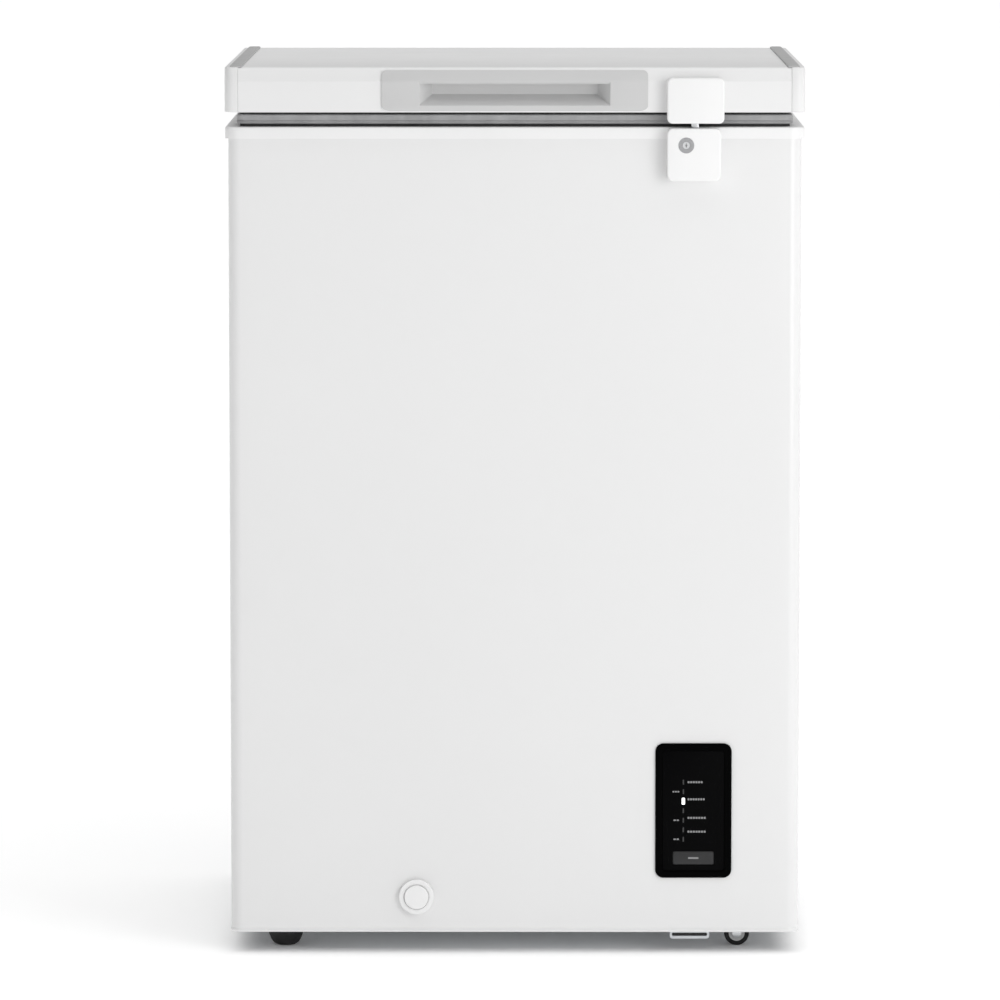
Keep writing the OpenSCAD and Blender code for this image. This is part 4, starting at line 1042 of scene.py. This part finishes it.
def make_liner():
    """The pressed tank: rounded corners, a raised step on the right and a hole for the drain."""
    low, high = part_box("inner_liner")
    wall = 1.2 * MM
    sump_low, sump_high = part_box("drain_plug")
    piece = block("tank_liner", (low.x + wall, low.y + wall, low.z + wall),
                  (high.x - wall, high.y - wall, high.z))
    carve(piece, block("step", (STEP_X, low.y - 9 * MM, low.z - 9 * MM),
                       (high.x + 9 * MM, high.y + 9 * MM, STEP_Z)))
    round_edges(piece, lambda e: not all(near(v.co.z, high.z) for v in e.verts), 15 * MM, 8)
    remove_faces(piece, lambda f: faces_to(f, (0, 0, 1)) and near(middle(f).z, high.z))
    thicken(piece, wall, 1)
    sump = (sump_low + sump_high) / 2
    carve(piece, rod("sump_hole", (sump.x, sump.y, low.z), 13.5 * MM, 30 * MM, "Z", 64))
    smooth(piece)
    return place(piece, liner_stucco, "cabinet", "liner", "inner_liner")


def make_basket():
    """A coated wire basket: a thick rim, U-shaped wires both ways, and hangers on the ledge."""
    low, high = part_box("basket")
    rim = 2.2 * MM
    reach = (high.y - low.y) / 2 - 7.8 * MM - rim
    left, right = low.x + rim, high.x - rim
    top, bottom = high.z - rim, low.z + 1.6 * MM
    wire = 1.5 * MM
    wires = []
    for z, radius in ((top, rim), ((top + bottom) / 2, wire), (bottom + 3 * MM, wire)):
        loop = tube("rim", [(left + 60 * MM, -reach, z), (right, -reach, z), (right, reach, z),
                            (left, reach, z), (left, -reach, z), (left + 62 * MM, -reach, z)],
                    radius, 12 * MM, 6)
        wires.append(loop)
    count = 11
    for i in range(count):
        x = left + 14 * MM + i * (right - left - 28 * MM) / (count - 1)
        wires.append(tube("cross_wire", [(x, -reach, top), (x, -reach, bottom),
                                         (x, reach, bottom), (x, reach, top)], wire, 9 * MM, 5))
    count = 17
    for i in range(count):
        y = -reach + 16 * MM + i * (2 * reach - 32 * MM) / (count - 1)
        wires.append(tube("long_wire", [(left, y, top), (left, y, bottom), (right, y, bottom),
                                        (right, y, top)], wire, 9 * MM, 5))
    for side, end in ((-1, low.y), (1, high.y)):
        edge = end - side * rim
        start, stop = left + 16 * MM, right - 16 * MM
        wires.append(tube("hanger", [(start, side * reach, top), (start, edge, top),
                                     (stop, edge, top), (stop, side * reach, top)],
                          rim, 4 * MM, 5))
    return place(join("wire_basket", wires), wire_coat, "basket", "basket_wire", "basket")


# ---------- rear ----------

def make_back_panel():
    """The galvanised back, stiffened by pressed beads."""
    low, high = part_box("back_panel")
    piece = block("back_sheet", low, high)
    carve(piece, block("bay_opening", (BAY_X, low.y - 9 * MM, 0), (high.x + 9 * MM,
                                                                  high.y + 9 * MM, BAY_Z)))
    half, bead = 205 * MM, 9 * MM
    rows = [BAY_Z + 85 * MM + i * 78 * MM for i in range(5)]
    for side in (-1, 1):
        slice_at(piece, (side * half, 0, 0), (1, 0, 0))
    for z in rows:
        slice_at(piece, (0, 0, z - bead), (0, 0, 1))
        slice_at(piece, (0, 0, z + bead), (0, 0, 1))
    pick(piece, "FACE", lambda f: faces_to(f, (0, 1, 0)) and abs(middle(f).x) < half
         and any(abs(middle(f).z - z) < MM for z in rows))
    bpy.ops.mesh.inset(thickness=4 * MM, depth=0)
    bpy.ops.transform.translate(value=(0, 1.6 * MM, 0))
    leave()
    ease(piece, 0.5 * MM, 2, 12)
    return place(piece, galvanised, "cabinet", "plain_steel", "back_panel")


def make_grille():
    """The machine bay's cover, with two columns of pressed louvres."""
    low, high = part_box("rear_grille")
    piece = block("bay_cover", low, high)
    round_edges(piece, lambda e: runs(e, "Y"), 3 * MM, 4)
    gland_low, gland_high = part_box("cord_gland")
    gland = (gland_low + gland_high) / 2
    wide = (high.x - low.x) / 2 - 22 * MM
    pitch = (high.z - low.z - 70 * MM) / 8
    hoods = []
    for column in (0, 1):
        x = low.x + 16 * MM + column * (high.x - low.x - 20 * MM) / 2
        for i in range(9):
            z = low.z + 48 * MM + i * pitch
            carve(piece, block("slot", (x, low.y - MM, z), (x + wide, high.y + MM, z + 6 * MM)))
            hood = block("hood", (x - 0.6 * MM, high.y - 0.4 * MM, z + 3.4 * MM),
                         (x + wide + 0.6 * MM, high.y + 3.6 * MM, z + 8.4 * MM))
            pick(hood, "VERT", lambda v: v.co.y > high.y and v.co.z > z + 8 * MM)
            bpy.ops.transform.translate(value=(0, -3.6 * MM, 0))
            leave()
            hoods.append(hood)
    carve(piece, rod("gland_hole", (gland.x, high.y, gland.z), 7.05 * MM, 20 * MM, "Y", 48))
    for hood in hoods:
        ease(hood, 0.5 * MM, 2, 20)
    ease(piece, 0.25 * MM, 2, 40)
    cover = join("bay_cover", [piece] + hoods)
    return place(cover, grille_enamel, "cabinet", "grille_grey", "rear_grille")


def screw_head(name, at, radius, height):
    """A pan-head screw facing the rear, with a cross recess."""
    head = rod(name, (at[0], at[1] + height / 2, at[2]), radius, height, "Y", 32)
    round_edges(head, lambda e: all(near(v.co.y, at[1] + height) for v in e.verts),
                height * 0.55, 4)
    for wide, tall in ((0.24, 1.2), (1.2, 0.24)):
        carve(head, block("recess", (at[0] - wide * radius / 2, at[1] + height * 0.45,
                                     at[2] - tall * radius / 2),
                          (at[0] + wide * radius / 2, at[1] + height * 2,
                           at[2] + tall * radius / 2)))
    smooth(head)
    return head


def make_screws(node, name, body, places, radius, height, shank):
    """All the screws of one node: one head, copied to every place."""
    first = places[0]
    master = screw_head("head", first, radius, height)
    stem = rod("stem", (first[0], first[1] - shank / 2 + 0.2 * MM, first[2]), 2 * MM, shank,
               "Y", 24)
    master = join("screw", [master, stem])
    every = [master] + [copy_of(master, "screw", Vector(spot) - Vector(first))
                        for spot in places[1:]]
    return place(join(name, every), zinc_plate, body, "zinc_steel", node)


def make_all_screws():
    grille_low, grille_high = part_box("rear_grille")
    make_screws("grille_screws", "cover_screws", "cabinet",
                [(x, grille_high.y, z) for x in (grille_low.x + 6 * MM, grille_high.x - 7 * MM)
                 for z in (grille_low.z + 8 * MM, grille_high.z - 7 * MM)],
                4 * MM, 1.6 * MM, 1.4 * MM)
    make_screws("leaf_screws", "leaf_bolts", "lid",
                [(side * HINGE_X + dx * MM, skin_high.y + 2.5 * MM, skin_low.z + dz * MM)
                 for side in (-1, 1) for dx in (-22, 22) for dz in (10, 26)],
                4 * MM, 1.4 * MM, 2.4 * MM)
    make_screws("hinge_screws", "hinge_bolts", "cabinet",
                [(side * HINGE_X + dx * MM, cabinet_high.y + 5 * MM, HINGE_Z + dz * MM)
                 for side in (-1, 1) for dx in (-18, 18) for dz in (-82, -56)],
                4 * MM, 1.6 * MM, 4.9 * MM)


# ---------- machine bay ----------

def make_compressor():
    """A hermetic shell: two deep-drawn halves with a weld seam, on a stamped foot."""
    low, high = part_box("compressor")
    centre = (low + high) / 2
    body_r = 56 * MM
    shell = rod("compressor_shell", centre, body_r, high.z - low.z, "Z", 96)
    round_edges(shell, lambda e: not runs(e, "Z"), 20 * MM, 8)
    seam = rod("seam", centre, body_r + 2.5 * MM, 4 * MM, "Z", 96)
    ease(seam, 1 * MM, 3, 40)
    foot = block("foot", (low.x, low.y, low.z + 2 * MM), (high.x, high.y, low.z + 5 * MM))
    round_edges(foot, lambda e: runs(e, "Z"), 8 * MM, 6)
    mount_low, mount_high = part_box("compressor_grommets")
    for x in (mount_low.x + 9 * MM, mount_high.x - 9 * MM):
        for y in (mount_low.y + 9 * MM, mount_high.y - 9 * MM):
            carve(foot, rod("hole", (x, y, low.z), 6.6 * MM, 30 * MM, "Z", 32))
    ease(foot, 0.5 * MM, 2, 40)
    smooth(shell)
    return place(join("compressor_shell", [shell, seam, foot]), black_enamel, "cabinet",
                 "compressor_black", "compressor")


def make_tubing():
    """The bent copper lines between the compressor, the drier and the coils."""
    line = 2.8 * MM
    comp_low, comp_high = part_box("compressor")
    comp = (comp_low + comp_high) / 2
    low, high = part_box("suction_line")
    knee = line * 1.3
    y, z = high.y - knee, low.z + knee
    place(tube("suction_tube", [(comp.x, comp.y + 55 * MM, z), (comp.x, y, z), (comp.x, y, high.z)],
               line, 12 * MM), copper_tube, "cabinet", "copper", "suction_line")
    low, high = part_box("discharge_line")
    x, z = high.x - knee, low.z + knee
    place(tube("discharge_tube", [(comp.x + 55 * MM, comp.y, z), (x, comp.y, z),
                                  (x, comp.y, high.z)], line, 10 * MM),
          copper_tube, "cabinet", "copper", "discharge_line")
    fine = 1.2 * MM
    low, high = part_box("capillary_tube")
    x, y = low.x + fine * 1.6, high.y - fine * 1.6
    drier_y = low.y + fine * 1.6
    turn = BAY_Z - 12 * MM
    place(tube("capillary", [(x, drier_y, low.z), (x, drier_y, turn), (x, y, turn),
                             (x, y, high.z)], fine, 9 * MM),
          copper_tube, "cabinet", "copper", "capillary_tube")
    low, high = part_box("filter_drier")
    x, y = low.x + 9 * MM, low.y + 9 * MM
    foot = low.z + knee
    pipe = tube("inlet", [(x, y, foot + 16 * MM), (x, y, foot), (high.x - knee, y, foot),
                          (high.x - knee, y, high.z)], line, 9 * MM)
    shell = rod("drier", (x, y, foot + 54 * MM), 9 * MM, 60 * MM, "Z", 64)
    for end in (-1, 1):
        pick(shell, "FACE", lambda f: faces_to(f, (0, 0, end)))
        draw_out((0, 0, end * 10 * MM))
        scale_picked((0.32, 0.32, 1), (x, y, foot))
        leave()
    ease(shell, 1.5 * MM, 4, 20)
    place(join("drier_can", [shell, pipe]), copper_tube, "cabinet", "copper", "filter_drier")


# ---------- finishes on the frame's own parts ----------

def dress(node, name, material, body, slot, width=0.0, angle=35):
    """A finished copy of a frame part: merged, tidied, with its edges broken when a width is given.
    """
    activate(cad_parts[node])
    bpy.ops.object.duplicate()
    piece = bpy.context.object
    piece.name = name
    piece.data.name = name
    pick(piece, "VERT", lambda v: True)
    bpy.ops.mesh.remove_doubles(threshold=MERGE)
    bpy.ops.mesh.dissolve_limited(angle_limit=math.radians(0.5))
    leave()
    if width:
        ease(piece, width, 2, angle)
    else:
        smooth(piece)
    return place(piece, material, body, slot, node)


def finish_node(material, *nodes):
    """Put a finish on parts whose shape is already right."""
    for node in nodes:
        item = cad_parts[node]
        item.data.materials.clear()
        item.data.materials.append(material)


# ---------- assembly ----------

make_cabinet()
make_collar()
make_lid_skin()
make_lid_cap()
make_strips()
make_handle()
make_gasket()
make_lid_underside()
make_keeper()
make_case()
make_barrel()
make_panel()
make_drain_cap()
make_drain_plug()
make_foot("foot_front", "foot_front")
make_foot("foot_rear", "foot_rear")
make_wheel("front", "wheel_front")
make_wheel("rear", "wheel_rear")
make_skid_shadow_pad()
make_liner()
make_basket()
make_back_panel()
make_grille()
make_all_screws()
make_compressor()
make_tubing()

dress("hinge_bases", "hinge_brackets", hinge_enamel, "cabinet", "hinge_white", 0.6 * MM)
dress("hinge_leaves", "hinge_flaps", hinge_enamel, "lid", "hinge_white", 0.5 * MM)
dress("hinge_pins", "hinge_rods", zinc_plate, "cabinet", "zinc_steel", 0.3 * MM, 50)
dress("hinge_springs", "hinge_coils", spring_steel, "cabinet", "spring_steel")
dress("bottom_pan", "floor_pan", galvanised, "cabinet", "plain_steel", 0.25 * MM)
dress("base_plate", "bay_floor", galvanised, "cabinet", "plain_steel", 0.25 * MM)
dress("compressor_grommets", "rubber_mounts", black_rubber, "cabinet", "rubber_black", 0.8 * MM)
dress("compressor_bolts", "mount_bolts", zinc_plate, "cabinet", "zinc_steel", 0.2 * MM)
dress("start_relay", "relay_box", black_moulding, "cabinet", "black_plastic", 1.5 * MM)
dress("cord_gland", "cord_inlet", black_rubber, "cabinet", "rubber_black", 0.5 * MM)
dress("axle_studs", "axles", zinc_plate, "cabinet", "zinc_steel", 0.25 * MM, 50)
dress("foot_sockets", "foot_bushes", zinc_plate, "cabinet", "zinc_steel", 0.3 * MM, 50)
dress("panel_housing", "panel_box", black_moulding, "cabinet", "black_plastic", 0.6 * MM)
dress("drain_tube", "drain_pipe", pipe_white, "cabinet", "drain_white", 0.3 * MM, 50)
dress("lock_tongue", "lock_hook", zinc_plate, "lid", "zinc_steel", 0.3 * MM)
dress("keeper_screws", "keeper_fixings", zinc_plate, "lid", "zinc_steel", 0.2 * MM, 50)
dress("temperature_sensor", "sensor_probe", zinc_plate, "cabinet", "zinc_steel", 0.3 * MM, 50)
dress("panel_board", "lamp_board", board_resin, "cabinet", "board_green", 0.15 * MM)
finish_node(insulation, "cabinet_foam", "lid_foam")
finish_node(coil_metal, "evaporator_coil", "condenser_coil")


# ---------- floor, light and camera ----------

SKY_LEFT = 0.0
SKY_RIGHT = 0.47
SKY_TOP = 1.34
FLOOR_GLOW = 0.235
# floor glow under the cabinet: the low value of a painted shadow
PAINTED_SHADOW_GLOW = 0.045
SOFTBOX_PLACE = (1.45, -1.95, 1.0)
SOFTBOX_AIM = (0.05, -0.25, 0.45)
SOFTBOX_SIZE = (1.1, 1.5)
SOFTBOX_POWER = 16
CAMERA_PLACE = (0.005, -6.533, 1.118)
CAMERA_DOWN = math.radians(5.913)
CAMERA_TURN = math.radians(0.173)
CAMERA_LENS = 239.5
CAMERA_SHIFT = -0.03


def make_floor():
    """A pale floor that glows enough to read as white, with a painted shadow under the cabinet
    where the glow is turned down.
    """
    bpy.ops.object.select_all(action="DESELECT")
    bpy.ops.mesh.primitive_plane_add(size=160, location=(0, 0, 0))
    floor = settle(bpy.context.object, "floor")
    paint = Finish("floor_white", (0.93, 0.93, 0.93), 0.9)
    paint.shader.inputs["Specular IOR Level"].default_value = 0.0
    paint.shader.inputs["Emission Color"].default_value = (1, 1, 1, 1)
    split = paint.nodes.new("ShaderNodeSeparateXYZ")
    paint.links.new(paint.place, split.inputs["Vector"])
    # painted shadow: the glow drops to its low value over the cabinet's footprint
    painted_shadow_ramps = []
    for axis, edge in (("X", cabinet_high.x), ("Y", cabinet_high.y)):
        far = paint.nodes.new("ShaderNodeMath")
        far.operation = "ABSOLUTE"
        paint.links.new(split.outputs[axis], far.inputs[0])
        painted_shadow_ramps.append(paint.spread(far.outputs["Value"], PAINTED_SHADOW_GLOW, FLOOR_GLOW,
                                   edge - 25 * MM, edge + 15 * MM))
    glow_node = paint.nodes.new("ShaderNodeMath")
    glow_node.operation = "MAXIMUM"
    for socket, painted_shadow_ramp in zip(glow_node.inputs, painted_shadow_ramps):
        paint.links.new(painted_shadow_ramp, socket)
    paint.links.new(glow_node.outputs["Value"], paint.shader.inputs["Emission Strength"])
    floor.data.materials.append(paint.material)


def make_lamp(name, place_at, aim, size, power):
    """A square softbox aimed at a point."""
    lamp = bpy.data.lights.new(name, "AREA")
    lamp.shape = "RECTANGLE"
    lamp.size, lamp.size_y = size
    lamp.energy = power
    stand = bpy.data.objects.new(name, lamp)
    bpy.context.scene.collection.objects.link(stand)
    stand.location = place_at
    stand.visible_camera = False
    stand.rotation_euler = (Vector(aim) - Vector(place_at)).to_track_quat("-Z", "Y").to_euler()


def ramp(tree, source, start, stop, low=0.0, high=1.0):
    """A level that climbs evenly from low to high between two values of its source."""
    climb = tree.nodes.new("ShaderNodeMapRange")
    climb.inputs["From Min"].default_value = start
    climb.inputs["From Max"].default_value = stop
    climb.inputs["To Min"].default_value = low
    climb.inputs["To Max"].default_value = high
    tree.links.new(source, climb.inputs["Value"])
    return climb.outputs["Result"]


def make_sky():
    """A white studio: bright low down and overhead, dimmer between, dimmest on the left."""
    world = bpy.data.worlds.new("studio")
    bpy.context.scene.world = world
    world.use_nodes = True
    nodes, links = world.node_tree.nodes, world.node_tree.links
    where = nodes.new("ShaderNodeTexCoord")
    split = nodes.new("ShaderNodeSeparateXYZ")
    links.new(where.outputs["Generated"], split.inputs["Vector"])
    above = ramp(world.node_tree, split.outputs["Z"], 0.08, 0.28)
    across = ramp(world.node_tree, split.outputs["X"], -1.0, 1.0, SKY_LEFT, SKY_RIGHT)
    overhead = ramp(world.node_tree, split.outputs["Z"], 0.5, 0.85)
    walls = nodes.new("ShaderNodeMix")
    walls.inputs["A"].default_value = 1.0
    links.new(above, walls.inputs["Factor"])
    links.new(across, walls.inputs["B"])
    ceiling = nodes.new("ShaderNodeMix")
    ceiling.inputs["B"].default_value = SKY_TOP
    links.new(overhead, ceiling.inputs["Factor"])
    links.new(walls.outputs["Result"], ceiling.inputs["A"])
    links.new(ceiling.outputs["Result"], nodes["Background"].inputs["Strength"])
    nodes["Background"].inputs["Color"].default_value = (1, 1, 1, 1)


def make_camera():
    """A long lens a little above the lid, looking slightly down."""
    lens = bpy.data.cameras.new("camera")
    lens.sensor_width = 36
    lens.lens = CAMERA_LENS
    lens.shift_y = CAMERA_SHIFT
    lens.clip_start, lens.clip_end = 0.1, 400
    camera = bpy.data.objects.new("camera", lens)
    bpy.context.scene.collection.objects.link(camera)
    camera.location = CAMERA_PLACE
    camera.rotation_euler = (QUARTER - CAMERA_DOWN, 0, CAMERA_TURN)
    bpy.context.scene.camera = camera


make_floor()
make_sky()
make_lamp("softbox_right", SOFTBOX_PLACE, SOFTBOX_AIM, SOFTBOX_SIZE, SOFTBOX_POWER)
make_camera()
bpy.context.scene.view_settings.view_transform = "Standard"
